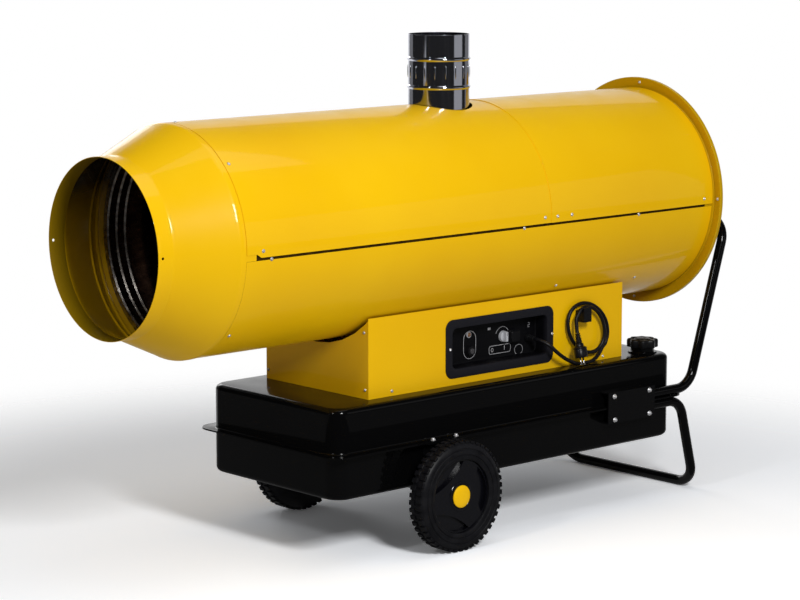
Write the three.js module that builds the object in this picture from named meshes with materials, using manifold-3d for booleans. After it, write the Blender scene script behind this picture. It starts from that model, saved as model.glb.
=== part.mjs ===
// Indirect fired space heater: a sheet steel drum with an outlet cone and a flue, on a control box,
// on a flanged fuel tank with two wheels, a foot stand and a push handle.
// Millimetres, +Z up. The drum lies along X with its outlet at -X, the control panel faces -Y,
// and the origin is on the floor near the middle of the machine.
import * as THREE from 'three';
import { mergeVertices } from 'three/addons/utils/BufferGeometryUtils.js';
import Module from 'manifold-3d';

const wasm = await Module();
wasm.setup();

// Driving dimensions of the whole machine
const overall_length = 1811;
const half_length = overall_length / 2;
const middle_x = -4.5;              // the middle of the machine, seen from the origin
const outlet_x = middle_x - half_length;
const grip_x = middle_x + half_length;
const gap = 0.3;                    // clearance between pieces that touch
const sheet = 1.2;                  // casing sheet
const overrun = 5;                  // how far a cutting body passes the wall it cuts

// Wheels carry the tank, the tank carries the box, and the box carries the drum
const wheel_radius = 133;
const wheel_x = -108.8;
const tread_width = 48;
const flange_above_axle = 127.5;
const flange_bottom_z = wheel_radius + flange_above_axle;
const flange_sheet = 1.85;
const flange_top_z = flange_bottom_z + 2 * flange_sheet + gap;
const lower_tank_depth = 105;
const upper_tank_depth = 106.5;
const tank_bottom_z = flange_bottom_z - lower_tank_depth;
const tank_top_z = flange_top_z + upper_tank_depth;
const tank_front_x = -435.6;
const tank_rear_x = 708;
const tank_half_width = 234;
const flange_width = 25;
const wheel_clearance = 4;          // between the edge of the flange and the tyres
const wheel_inner_y = tank_half_width + flange_width + wheel_clearance;
const wheel_outer_y = wheel_inner_y + tread_width;

// Drum, and the places along it that follow its ends
const drum_radius = 267.8;
const drum_segments = 36;
const drum_above_tank = 123;
const axis_z = tank_top_z + drum_above_tank + drum_radius;
const drum_front_setback = 192.5;
const drum_rear_setback = 94;
const drum_front_x = outlet_x + drum_front_setback;
const drum_rear_x = grip_x - drum_rear_setback;
const flue_setback = 707;
const flue_x = drum_rear_x - flue_setback;
const joint_behind_flue = 122.6;
const panel_joint_x = flue_x + joint_behind_flue;

// Materials
const material = (color, roughness, metalness) =>
  new THREE.MeshStandardMaterial({ color, roughness, metalness, flatShading: true });
const yellow_paint = material(0xf2bd0c, 0.35, 0.1);
const black_paint = material(0x0b0b0c, 0.25, 0.2);
const dark_steel = material(0x3a3531, 0.6, 0.8);
const bright_steel = material(0xb9bcc0, 0.3, 0.95);
const dark_plastic = material(0x2b2a33, 0.5, 0);
const black_plastic = material(0x121215, 0.4, 0);
const black_rubber = material(0x151515, 0.8, 0);
const yellow_plastic = material(0xffc90e, 0.4, 0);
const silver_plastic = material(0xb4b4b8, 0.35, 0.5);
const red_plastic = material(0xb01818, 0.3, 0);
const amber_plastic = material(0xd8842a, 0.3, 0);

// Closed meshes from three.js geometries
function closed(geometry) {
  const bare = geometry.clone();
  bare.deleteAttribute('normal');
  if (bare.getAttribute('uv')) bare.deleteAttribute('uv');
  const merged = mergeVertices(bare, 1e-3);
  const position = merged.getAttribute('position');
  const index = Array.from(merged.index.array);
  const kept = [];
  const corner = [0, 1, 2].map(() => new THREE.Vector3());
  let volume = 0;
  for (let i = 0; i < index.length; i += 3) {
    const [a, b, c] = index.slice(i, i + 3);
    if (a === b || b === c || c === a) continue;
    kept.push([a, b, c]);
    [a, b, c].forEach((vertex, side) => corner[side].fromBufferAttribute(position, vertex));
    volume += corner[0].dot(corner[1].clone().cross(corner[2]));
  }
  const result = new THREE.BufferGeometry();
  result.setAttribute('position', position);
  result.setIndex(kept.flatMap(([a, b, c]) => (volume > 0 ? [a, b, c] : [a, c, b])));
  return result;
}

const solid = (geometry) => {
  const shell = closed(geometry);
  const mesh = new wasm.Mesh({
    numProp: 3,
    vertProperties: Float32Array.from(shell.getAttribute('position').array),
    triVerts: Uint32Array.from(shell.index.array),
  });
  return new wasm.Manifold(mesh);
};

function geometry_of(body) {
  const mesh = body.getMesh();
  const result = new THREE.BufferGeometry();
  result.setAttribute('position', new THREE.BufferAttribute(mesh.vertProperties.slice(), 3));
  result.setIndex(Array.from(mesh.triVerts));
  return result;
}

const joined = (...parts) => geometry_of(parts.map(solid).reduce((a, b) => a.add(b)));
const cut = (body, ...cutters) =>
  geometry_of(cutters.map(solid).reduce((a, b) => a.subtract(b), solid(body)));

// A block between two corners
function block(x0, x1, y0, y1, z0, z1) {
  const box = new THREE.BoxGeometry(x1 - x0, y1 - y0, z1 - z0);
  return box.translate((x0 + x1) / 2, (y0 + y1) / 2, (z0 + z1) / 2);
}

// Extrusions whose outline lies across X, Y or Z
const axis_x = new THREE.Vector3(1, 0, 0);
const axis_y = new THREE.Vector3(0, 1, 0);
const axis_up = new THREE.Vector3(0, 0, 1);
const outline_of = (points) => new THREE.Shape(points.map(([u, v]) => new THREE.Vector2(u, v)));
const extruded = (shape, depth, options) =>
  new THREE.ExtrudeGeometry(shape, { depth, bevelEnabled: false, curveSegments: 3, ...options });
const across_x = (shape, x0, x1) => extruded(shape, x1 - x0)
  .applyMatrix4(new THREE.Matrix4().makeBasis(axis_y, axis_up, axis_x).setPosition(x0, 0, 0));
const across_y = (shape, y0, y1) => extruded(shape, y1 - y0)
  .applyMatrix4(new THREE.Matrix4().makeBasis(axis_x, axis_up, axis_y.clone().negate()).setPosition(0, y1, 0));
const across_z = (shape, z0, z1) => extruded(shape, z1 - z0).translate(0, 0, z0);

// Turned shapes: profile points are [radius, place along the axis]
const lathed = (profile, segments, turn = 0) =>
  new THREE.LatheGeometry(profile.map(([r, s]) => new THREE.Vector2(r, s)), segments, turn);
const ring_of = (profile, segments, turn = 0) => lathed([...profile, profile[0]], segments, turn);
const about_x = (geometry, z) => geometry.rotateZ(-Math.PI / 2).translate(0, 0, z);
const about_z = (geometry, x, y) => geometry.rotateX(Math.PI / 2).translate(x, y, 0);
const about_y = (geometry, x, z) => geometry.translate(x, 0, z);
const rod = (radius, s0, s1, segments) => lathed([[0, s0], [radius, s0], [radius, s1], [0, s1]], segments);
const pipe = (outer, inner, s0, s1, segments) =>
  ring_of([[inner, s0], [outer, s0], [outer, s1], [inner, s1]], segments);

// A rectangle with round corners
function round_rectangle(u0, u1, v0, v1, radius) {
  const shape = new THREE.Shape();
  shape.moveTo(u0 + radius, v0);
  shape.lineTo(u1 - radius, v0);
  shape.absarc(u1 - radius, v0 + radius, radius, -Math.PI / 2, 0);
  shape.lineTo(u1, v1 - radius);
  shape.absarc(u1 - radius, v1 - radius, radius, 0, Math.PI / 2);
  shape.lineTo(u0 + radius, v1);
  shape.absarc(u0 + radius, v1 - radius, radius, Math.PI / 2, Math.PI);
  shape.lineTo(u0, v0 + radius);
  shape.absarc(u0 + radius, v0 + radius, radius, Math.PI, 1.5 * Math.PI);
  return shape;
}

// A sheet bent to an arc about the drum axis, from one angle to another, counted from +Y upwards
function arc_outline(outer, inner, from_deg, to_deg) {
  const step = 360 / drum_segments;
  const angles = [from_deg];
  for (let a = Math.floor(from_deg / step + 1) * step; a < to_deg - 0.01; a += step) angles.push(a);
  angles.push(to_deg);
  const at = (radius, degrees) => {
    const turn = THREE.MathUtils.degToRad(degrees);
    return [radius * Math.cos(turn), axis_z + radius * Math.sin(turn)];
  };
  const outside = angles.map((a) => at(outer, a));
  const inside = angles.map((a) => at(inner, a)).reverse();
  return outline_of([...outside, ...inside]);
}

// A route whose stations are given, so that straight runs take one step and bends take several
class Route extends THREE.Curve {
  constructor(points, tangents, level_shares = null, sides = 12) {
    super();
    this.points = points;
    this.tangents = tangents;
    this.level_shares = level_shares;
    this.sides = sides;
  }

  // Where level shares are given, the section is turned until a side faces straight down at share 1
  computeFrenetFrames(segments, is_closed) {
    const frames = super.computeFrenetFrames(segments, is_closed);
    if (!this.level_shares) return frames;
    const middle = this.level_shares.indexOf(1);
    const along = frames.tangents[middle];
    const from = frames.normals[middle];
    const turn = Math.atan2(from.clone().cross(axis_up).dot(along), from.dot(axis_up));
    const side_turn = (2 * Math.PI) / this.sides;
    const least_turn = turn - side_turn * Math.round(turn / side_turn);
    this.level_shares.forEach((share, i) => {
      const spin = new THREE.Quaternion().setFromAxisAngle(frames.tangents[i], least_turn * share);
      frames.normals[i].applyQuaternion(spin);
      frames.binormals[i].applyQuaternion(spin);
    });
    return frames;
  }

  getPoint(t, target = new THREE.Vector3()) {
    const place = t * (this.points.length - 1);
    const first = Math.min(Math.floor(place + 1e-9), this.points.length - 2);
    return target.lerpVectors(this.points[first], this.points[first + 1], place - first);
  }

  getPointAt(u, target) {
    return this.getPoint(u, target);
  }

  getTangentAt(u, target = new THREE.Vector3()) {
    return target.copy(this.tangents[Math.round(u * (this.points.length - 1))]);
  }
}

function bent_route(corners, bend_radius, steps_per_bend) {
  const at = corners.map(([x, y, z]) => new THREE.Vector3(x, y, z));
  const points = [at[0]];
  const tangents = [at[1].clone().sub(at[0]).normalize()];
  for (let i = 1; i < at.length - 1; i += 1) {
    const coming = at[i].clone().sub(at[i - 1]).normalize();
    const going = at[i + 1].clone().sub(at[i]).normalize();
    const turn = coming.angleTo(going);
    const side = going.clone().addScaledVector(coming, -going.dot(coming)).normalize();
    const start = at[i].clone().addScaledVector(coming, -bend_radius * Math.tan(turn / 2));
    for (let k = 0; k <= steps_per_bend; k += 1) {
      const angle = (turn * k) / steps_per_bend;
      points.push(start.clone()
        .addScaledVector(coming, bend_radius * Math.sin(angle))
        .addScaledVector(side, bend_radius * (1 - Math.cos(angle))));
      tangents.push(coming.clone().multiplyScalar(Math.cos(angle)).addScaledVector(side, Math.sin(angle)));
    }
  }
  points.push(at[at.length - 1]);
  tangents.push(at[at.length - 1].clone().sub(at[at.length - 2]).normalize());
  return new Route(points, tangents);
}

function swept(route, radius, sides, steps) {
  const section = outline_of(Array.from({ length: sides }, (_, i) => {
    const turn = ((i + 0.5) * 2 * Math.PI) / sides;
    return [radius * Math.cos(turn), radius * Math.sin(turn)];
  }));
  const count = steps ?? route.points.length - 1;
  return new THREE.ExtrudeGeometry(section, { steps: count, bevelEnabled: false, extrudePath: route });
}

const heater = new THREE.Group();
function node(name, geometry, finish, parent = heater) {
  const mesh = new THREE.Mesh(closed(geometry), finish);
  mesh.name = name;
  parent.add(mesh);
  return mesh;
}

// Outlet cone: collar for the air duct, frustum, skirt and a joggled lip under the drum panels
const collar_radius = 205;
const collar_length = 42.5;
const frustum_length = 133;
const lip_length = 28;
const cone_wall_share = 1.17;       // wall of the sloping part, measured across the axis
const lip_radius = drum_radius - sheet - gap;
const skirt_rear_x = drum_front_x - gap;
const collar_rear_x = outlet_x + collar_length;
const skirt_front_x = collar_rear_x + frustum_length;
node('outlet_cone', about_x(ring_of([
  [collar_radius - sheet, outlet_x],
  [collar_radius, outlet_x],
  [collar_radius, collar_rear_x],
  [drum_radius, skirt_front_x],
  [drum_radius, skirt_rear_x],
  [lip_radius, skirt_rear_x],
  [lip_radius, skirt_rear_x + lip_length],
  [lip_radius - sheet, skirt_rear_x + lip_length],
  [lip_radius - sheet, skirt_front_x],
  [collar_radius - sheet * cone_wall_share, collar_rear_x],
], drum_segments), axis_z), yellow_paint);

// Casing: one lower sheet, and a front and a rear upper sheet, of which the rear one laps over the front one
const joint_angle = 2.8;
const lower_inset_share = 0.2;      // of the sheet, by which the lower casing lies inside the upper panels
const lower_radius = drum_radius - lower_inset_share * sheet;
const joint_gap_angle = THREE.MathUtils.radToDeg(gap / drum_radius);
const panel_lap = 12;
const flue_radius = 75;
const flue_hole_margin = 7;
const flue_hole_radius = flue_radius + flue_hole_margin;
const flue_segments = 24;
node('lower_casing', across_x(arc_outline(
  lower_radius,
  drum_radius - sheet,
  180 + joint_angle + joint_gap_angle,
  360 - joint_angle - joint_gap_angle,
), drum_front_x, drum_rear_x), yellow_paint);
const upper_outline = arc_outline(drum_radius, drum_radius - sheet, -joint_angle, 180 + joint_angle);
const flue_hole = () => about_z(
  rod(flue_hole_radius, axis_z, axis_z + drum_radius + overrun, flue_segments), flue_x, 0,
);
node('upper_front_panel', cut(
  across_x(upper_outline, drum_front_x, panel_joint_x + panel_lap),
  flue_hole(),
), yellow_paint);
const rear_outline = arc_outline(
  drum_radius + gap + sheet, drum_radius + gap, -joint_angle, 180 + joint_angle,
);
node('upper_rear_panel', across_x(rear_outline, panel_joint_x, drum_rear_x), yellow_paint);

// Rear ring: a neck inside the drum, a dished face that stands out past it, and a turned rim
const ring_overhang = 28.2;
const ring_radius = drum_radius + ring_overhang;
const ring_overlap = 2;
const ring_dish = 11;
const ring_face_x = drum_rear_x - ring_overlap;
const ring_crease_x = ring_face_x + ring_dish;
const ring_rim_depth = 10;
const ring_wall_share = 1.6;        // wall of the dished face, measured along the axis
const neck_length = 34;
const neck_radius = drum_radius - sheet - gap;
node('rear_ring', about_x(ring_of([
  [neck_radius, ring_crease_x - neck_length],
  [neck_radius, ring_crease_x],
  [ring_radius, ring_face_x],
  [ring_radius, ring_face_x + ring_rim_depth],
  [ring_radius - sheet, ring_face_x + ring_rim_depth],
  [ring_radius - sheet, ring_face_x + ring_wall_share * sheet],
  [neck_radius, ring_crease_x + sheet],
  [neck_radius - sheet, ring_crease_x + sheet],
  [neck_radius - sheet, ring_crease_x - neck_length],
], drum_segments), axis_z), yellow_paint);

// Fan guard: flat rings on radial bars, seated on the crease of the rear ring
const guard_wire = 4;
const guard_band = 1.5 * guard_wire;
const guard_radius = neck_radius + guard_band;
const guard_front_x = ring_crease_x + sheet + gap;
const guard_hub_radius = 34;
const guard_bars = 8;
const guard_rings = 3;
const guard_segments = 24;
const guard_rear_x = guard_front_x + guard_wire;
const guard_parts = [about_x(rod(guard_hub_radius, guard_front_x, guard_rear_x, guard_segments), axis_z)];
for (let i = 1; i <= guard_rings; i += 1) {
  const radius = guard_hub_radius + ((guard_radius - guard_hub_radius) * i) / guard_rings;
  const loop = pipe(radius, radius - guard_band, guard_front_x, guard_rear_x, guard_segments);
  guard_parts.push(about_x(loop, axis_z));
}
for (let i = 0; i < guard_bars; i += 1) {
  const bar = block(
    guard_front_x, guard_rear_x,
    -guard_wire / 2, guard_wire / 2,
    guard_hub_radius / 2, guard_radius - guard_wire,
  );
  guard_parts.push(bar.rotateX((2 * Math.PI * (i + 0.5)) / guard_bars).translate(0, 0, axis_z));
}
node('fan_guard', joined(...guard_parts), dark_steel);

// Inner liner: a steel tube that keeps the casing cool, held by a flange at each end
const liner_clearance = 15.8;
const liner_radius = drum_radius - liner_clearance;
const liner_front_setback = 1.3;
const liner_front_x = skirt_rear_x + liner_front_setback;
const liner_rear_setback = 307;
const liner_rear_x = drum_rear_x - liner_rear_setback;
const liner_sheet = 1.5;
const liner_front_flange = lip_radius - sheet - gap;
const liner_rear_flange = drum_radius - sheet - gap;
node('inner_liner', cut(
  about_x(ring_of([
    [liner_radius - liner_sheet, liner_front_x],
    [liner_front_flange, liner_front_x],
    [liner_front_flange, liner_front_x + liner_sheet],
    [liner_radius, liner_front_x + liner_sheet],
    [liner_radius, liner_rear_x - liner_sheet],
    [liner_rear_flange, liner_rear_x - liner_sheet],
    [liner_rear_flange, liner_rear_x],
    [liner_radius - liner_sheet, liner_rear_x],
  ], drum_segments), axis_z),
  flue_hole(),
), dark_steel);

// Heat exchanger: an annular steel box round the combustion chamber
const exchanger_clearance = 27;
const gas_passage = 43;
const air_passage = 32;
const exchanger_radius = liner_radius - exchanger_clearance;
const exchanger_inner = exchanger_radius - gas_passage;
const chamber_radius = exchanger_inner - air_passage;
const exchanger_setback = 117.5;
const exchanger_behind_flue = 105;
const exchanger_front_x = drum_front_x + exchanger_setback;
const exchanger_rear_x = flue_x + exchanger_behind_flue;
const plate = 2;
const inner_segments = 24;
const spigot_radius = flue_radius - sheet - gap;
const crossover_setback = 160;
const crossover_x = exchanger_front_x + crossover_setback;
const crossover_radius = 26;
const spigot_drill = about_z(rod(
  spigot_radius - sheet,
  axis_z + exchanger_inner + 2 * plate,
  axis_z + exchanger_radius + overrun,
  flue_segments,
), flue_x, 0);
const crossover_drill = about_z(rod(
  crossover_radius - plate, axis_z - exchanger_inner - 2 * plate, axis_z - chamber_radius, inner_segments,
), crossover_x, 0);
node('heat_exchanger', cut(
  about_x(pipe(
    exchanger_radius, exchanger_inner, exchanger_front_x, exchanger_rear_x, inner_segments,
  ), axis_z),
  about_x(pipe(
    exchanger_radius - plate, exchanger_inner + plate,
    exchanger_front_x + plate, exchanger_rear_x - plate, inner_segments,
  ), axis_z),
  spigot_drill,
  crossover_drill,
), dark_steel);

// Combustion chamber: a closed dome at the front and a plate for the burner at the rear
const dome_setback = 80;
const dome_length = 70;
const chamber_overhang = 125;
const dome_front_x = exchanger_front_x + dome_setback;
const chamber_rear_x = exchanger_rear_x + chamber_overhang;
const burner_tube_radius = 50;
const dome_steps = 3;
const dome = (radius, length) => Array.from({ length: dome_steps + 1 }, (_, i) => {
  const turn = (Math.PI / 2) * (i / dome_steps);
  return [radius * Math.sin(turn), dome_front_x + dome_length - length * Math.cos(turn)];
});
const chamber_shell = lathed([
  ...dome(chamber_radius, dome_length),
  [chamber_radius, chamber_rear_x],
  [burner_tube_radius + gap, chamber_rear_x],
  [burner_tube_radius + gap, chamber_rear_x - plate],
  [chamber_radius - plate, chamber_rear_x - plate],
  ...dome(chamber_radius - plate, dome_length - plate).reverse(),
], inner_segments);
const crossover = (radius) => about_z(rod(
  radius, axis_z - exchanger_inner - overrun, axis_z - chamber_radius + 2 * overrun, inner_segments,
), crossover_x, 0);
const exchanger_bore = about_x(rod(
  exchanger_inner - gap, dome_front_x - overrun, chamber_rear_x + overrun, inner_segments,
), axis_z);
// The crossover duct under the chamber is welded to it and takes the hot gas down into the exchanger
const crossover_duct = solid(crossover(crossover_radius)).intersect(solid(exchanger_bore));
const crossover_drilling = solid(crossover(crossover_radius - plate));
node('combustion_chamber', geometry_of(
  solid(about_x(chamber_shell, axis_z)).add(crossover_duct).subtract(crossover_drilling),
), dark_steel);

// Feet that carry the exchanger and the chamber on the liner
const foot_half_angle = 8;
const foot_sheet = 4;
const liner_bore = (liner_radius - liner_sheet) * Math.cos(Math.PI / drum_segments) - gap;
function foot(name, x, from_radius) {
  const outline = arc_outline(liner_bore, from_radius + gap, 270 - foot_half_angle, 270 + foot_half_angle);
  node(name, across_x(outline, x, x + foot_sheet), dark_steel);
}
const foot_setback = 60;
foot('exchanger_foot_front', exchanger_front_x + foot_setback, exchanger_radius);
foot('exchanger_foot_rear', exchanger_rear_x - foot_setback, exchanger_radius);
foot('chamber_foot', chamber_rear_x - foot_setback, chamber_radius);

// Flue: a spigot on the exchanger and the stack that slips over it
const stack_sink = 34;
const stack_rise = 167.7;
const stack_overlap = 48;
const stack_bottom_z = axis_z + drum_radius - stack_sink;
const flue_top_z = axis_z + drum_radius + stack_rise;
const bead_depth = 2.5;
const bead_half = 5;
const upper_bead_drop = 59;
const lower_bead_drop = 127;
const upper_bead_z = flue_top_z - upper_bead_drop;
const lower_bead_z = flue_top_z - lower_bead_drop;
const spigot_blank = solid(about_z(pipe(
  spigot_radius, spigot_radius - sheet,
  axis_z + exchanger_inner, stack_bottom_z + stack_overlap, flue_segments,
), flue_x, 0));
const spigot_seat = about_x(rod(
  exchanger_radius + gap, flue_x - 2 * flue_radius, flue_x + 2 * flue_radius, inner_segments,
), axis_z);
node('flue_spigot', geometry_of(spigot_blank.subtract(solid(spigot_seat))), dark_steel);
const bead_profile = (z) => [
  [flue_radius, z - bead_half],
  [flue_radius + bead_depth, z],
  [flue_radius, z + bead_half],
];
node('flue_stack', about_z(ring_of([
  [flue_radius - sheet, stack_bottom_z],
  [flue_radius, stack_bottom_z],
  ...bead_profile(lower_bead_z),
  ...bead_profile(upper_bead_z),
  [flue_radius, flue_top_z],
  [flue_radius - sheet, flue_top_z],
], flue_segments), flue_x, 0), bright_steel);

// Motor cross bar: two flat strips and a plate, fixed in the neck of the rear ring
const bar_sheet = 4;
const bar_front_x = ring_crease_x - neck_length + bar_sheet;
const bar_height = 26;
const bar_offset = 42;
const bar_reach = Math.sqrt((neck_radius - sheet - 3 * gap) ** 2 - (bar_offset + bar_height / 2) ** 2);
const motor_plate_half = 60;
const strip = (z) => block(
  bar_front_x, bar_front_x + bar_sheet, -bar_reach, bar_reach, z - bar_height / 2, z + bar_height / 2,
);
node('motor_cross_bar', joined(
  strip(axis_z + bar_offset),
  strip(axis_z - bar_offset),
  block(
    bar_front_x, bar_front_x + bar_sheet,
    -motor_plate_half, motor_plate_half, axis_z - bar_offset, axis_z + bar_offset,
  ),
), dark_steel);

// Fan motor, its shaft and the axial fan
const motor_radius = 70;
const motor_length = 130;
const motor_rear_x = bar_front_x - gap;
const motor_front_x = motor_rear_x - motor_length;
const shaft_radius = 8;
const shaft_reach = 62;
const shaft_bore = shaft_radius + gap;
const shaft_depth = 40;
const motor_nose = 12;
const round_segments = 16;
node('fan_motor', about_x(lathed([
  [0, motor_front_x + shaft_depth],
  [shaft_bore, motor_front_x + shaft_depth],
  [shaft_bore, motor_front_x],
  [motor_radius - motor_nose, motor_front_x],
  [motor_radius, motor_front_x + motor_nose],
  [motor_radius, motor_rear_x],
  [0, motor_rear_x],
], round_segments), axis_z), black_paint);
const shaft_front_x = motor_front_x - shaft_reach;
node('motor_shaft', about_x(
  rod(shaft_radius, shaft_front_x, motor_front_x + shaft_depth - gap, round_segments), axis_z), bright_steel);
const fan_clearance = 19.8;
const fan_radius = drum_radius - fan_clearance;
const hub_radius = 42;
const hub_length = 44;
const hub_setback = 4;
const hub_front_x = shaft_front_x + hub_setback;
const hub_rear_x = hub_front_x + hub_length;
const blades = 6;
const blade_sheet = 3;
const blade_root = 60;
const blade_tip = 150;
const blade_pitch = THREE.MathUtils.degToRad(28);
const blade_tip_shares = [0.94, 0.99, 0.96];        // of the fan's radius, from the leading corner on
const fan_parts = [about_x(pipe(hub_radius, shaft_radius + gap, hub_front_x, hub_rear_x, round_segments), 0)];
for (let i = 0; i < blades; i += 1) {
  const blade = across_x(outline_of([
    [-blade_root / 2, hub_radius - 2 * blade_sheet],
    [blade_root / 2, hub_radius - 2 * blade_sheet],
    [blade_tip / 2, fan_radius * blade_tip_shares[0]],
    [0, fan_radius * blade_tip_shares[1]],
    [-blade_tip / 3, fan_radius * blade_tip_shares[2]],
  ]), -blade_sheet / 2, blade_sheet / 2);
  fan_parts.push(blade
    .rotateZ(blade_pitch)
    .translate(hub_front_x + hub_length / 2, 0, 0)
    .rotateX((2 * Math.PI * i) / blades));
}
node('fan_impeller', joined(...fan_parts).translate(0, 0, axis_z), bright_steel);

// Burner: a housing behind the chamber, with its flame tube through the burner plate
const burner_reach = 70;
const burner_front_x = chamber_rear_x - burner_reach;
const burner_flange_radius = 78;
const burner_flange = 5;
const housing_setback = 70;
const housing_length = 120;
const housing_front_x = chamber_rear_x + housing_setback;
const housing_rear_x = housing_front_x + housing_length;
const housing_radius = 92;
const housing_round = 14;
node('burner_tube', about_x(ring_of([
  [burner_tube_radius - plate, burner_front_x],
  [burner_tube_radius, burner_front_x],
  [burner_tube_radius, chamber_rear_x + gap],
  [burner_flange_radius, chamber_rear_x + gap],
  [burner_flange_radius, chamber_rear_x + gap + burner_flange],
  [burner_tube_radius, chamber_rear_x + gap + burner_flange],
  [burner_tube_radius, housing_front_x - gap],
  [burner_tube_radius - plate, housing_front_x - gap],
], inner_segments), axis_z), bright_steel);
node('burner_housing', about_x(lathed([
  [0, housing_front_x],
  [housing_radius, housing_front_x],
  [housing_radius, housing_rear_x - housing_round],
  [housing_radius - housing_round, housing_rear_x],
  [0, housing_rear_x],
], round_segments), axis_z), black_paint);

// Control box: floor tray, two ends with a saddle cut for the drum, and two sides
const box_front_x = -295;
const box_rear_x = 563;
const box_half_width = 186.3;
const box_edge_clearance = 5.4;     // between the drum and the upper edges of the box sides
const box_top_z = axis_z - Math.sqrt((drum_radius + box_edge_clearance) ** 2 - box_half_width ** 2);
const saddle_clearance = 9;
const saddle_radius = drum_radius + saddle_clearance;
const box_floor_z = tank_top_z + gap;
const end_half_width = box_half_width - sheet - gap;
const pickup_x = -120;
const pickup_y = 60;
const pickup_flange_radius = 15;
node('box_tray', cut(
  block(
    box_front_x + sheet + gap, box_rear_x - sheet - gap,
    -end_half_width, end_half_width, box_floor_z, box_floor_z + sheet,
  ),
  about_z(
    rod(pickup_flange_radius + gap, box_floor_z - overrun, box_floor_z + overrun, round_segments),
    pickup_x, pickup_y,
  ),
), yellow_paint);
const drum_cutter = (radius, x0, x1) => about_x(rod(radius, x0 - overrun, x1 + overrun, drum_segments), axis_z);
function box_end(name, x) {
  node(name, cut(
    block(x, x + sheet, -end_half_width, end_half_width, box_floor_z, box_top_z),
    drum_cutter(saddle_radius, x, x + sheet),
  ), yellow_paint);
}
box_end('box_front_plate', box_front_x);
box_end('box_rear_plate', box_rear_x - sheet);

// Control panel in the near side: a moulded frame with a deep rounded recess
const bezel_front_x = -50;
const bezel_rear_x = 313.6;
const bezel_rise = 17;
const bezel_height = 142;
const bezel_low_z = tank_top_z + bezel_rise;
const bezel_high_z = bezel_low_z + bezel_height;
const bezel_corner = 22;
const bezel_sheet = 2.2;
const frame_band = 21.5;
const mouth_corner = 14;
const recess_wall = 2;
const recess_depth = 40;
const side_face_y = -box_half_width;
const recess_floor_y = side_face_y - gap - bezel_sheet + recess_depth;
const mouth = (grow) => round_rectangle(
  bezel_front_x + frame_band - grow, bezel_rear_x - frame_band + grow,
  bezel_low_z + frame_band - grow, bezel_high_z - frame_band + grow, mouth_corner + grow,
);
const bezel_face_y = side_face_y - gap - bezel_sheet;

// Places of the fittings on the recess floor, with their heights above the tank
const knob_rise = 92;
const reset_rise = 68;
const lamp_rise = 108.5;
const socket_rise = 89;
const gland_rise = 78;
const knob_x = 176;
const knob_z = tank_top_z + knob_rise;
const reset_x = 67;
const reset_z = tank_top_z + reset_rise;
const lamp_x = 62;
const lamp_z = tank_top_z + lamp_rise;
const socket_x = 209.5;
const socket_z = tank_top_z + socket_rise;
const gland_x = 262;
const gland_z = tank_top_z + gland_rise;
const stem_radius = 3;
const stem_length = 8;
const stem_hole = stem_radius + 2 * gap;
const stem_segments = 12;
const stem_drill = (x, z) =>
  about_y(rod(stem_hole, recess_floor_y - overrun, recess_floor_y + overrun, stem_segments), x, z);
const bezel_outline = round_rectangle(bezel_front_x, bezel_rear_x, bezel_low_z, bezel_high_z, bezel_corner);
node('control_bezel', cut(
  joined(
    across_y(bezel_outline, bezel_face_y, bezel_face_y + bezel_sheet),
    across_y(mouth(recess_wall), bezel_face_y + bezel_sheet / 2, recess_floor_y + recess_wall),
  ),
  across_y(mouth(0), bezel_face_y - overrun, recess_floor_y),
  stem_drill(knob_x, knob_z),
  stem_drill(reset_x, reset_z),
), dark_plastic);

// Box sides
const side = (y0, y1) => block(box_front_x, box_rear_x, y0, y1, box_floor_z, box_top_z);
node('box_side_left', cut(
  side(side_face_y, side_face_y + sheet),
  across_y(mouth(recess_wall + gap), side_face_y - overrun, side_face_y + overrun),
), yellow_paint);
node('box_side_right', side(box_half_width - sheet, box_half_width), yellow_paint);

// Cradles in the box carry the drum
const cradle_half_width = 130;
const cradle_sheet = 3;
const cradle_front_inset = 95;
const cradle_rear_inset = 110;
function cradle(name, x) {
  const low_z = box_floor_z + sheet + gap;
  node(name, cut(
    block(x, x + cradle_sheet, -cradle_half_width, cradle_half_width, low_z, axis_z),
    drum_cutter(lower_radius + gap, x, x + cradle_sheet),
  ), dark_steel);
}
cradle('cradle_front', box_front_x + cradle_front_inset);
cradle('cradle_rear', box_rear_x - cradle_rear_inset);

// Burner control unit and the fuel pickup inside the box
const unit_length = 120;
const unit_depth = 90;
const unit_height = 62;
const unit_inset = 150;
const unit_front_x = box_front_x + unit_inset;
node('burner_control_unit', block(
  unit_front_x, unit_front_x + unit_length, -unit_depth, 0,
  box_floor_z + sheet + gap, box_floor_z + sheet + gap + unit_height,
), black_plastic);
const pickup_radius = 5;
const pickup_flange = 4;
const pickup_rise = 30;
const pickup_floor_clearance = 14;
node('fuel_pickup', about_z(lathed([
  [0, tank_bottom_z + pickup_floor_clearance],
  [pickup_radius, tank_bottom_z + pickup_floor_clearance],
  [pickup_radius, tank_top_z + gap],
  [pickup_flange_radius, tank_top_z + gap],
  [pickup_flange_radius, tank_top_z + gap + pickup_flange],
  [pickup_radius, tank_top_z + gap + pickup_flange],
  [pickup_radius, tank_top_z + pickup_rise],
  [0, tank_top_z + pickup_rise],
], stem_segments), pickup_x, pickup_y), bright_steel);

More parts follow.
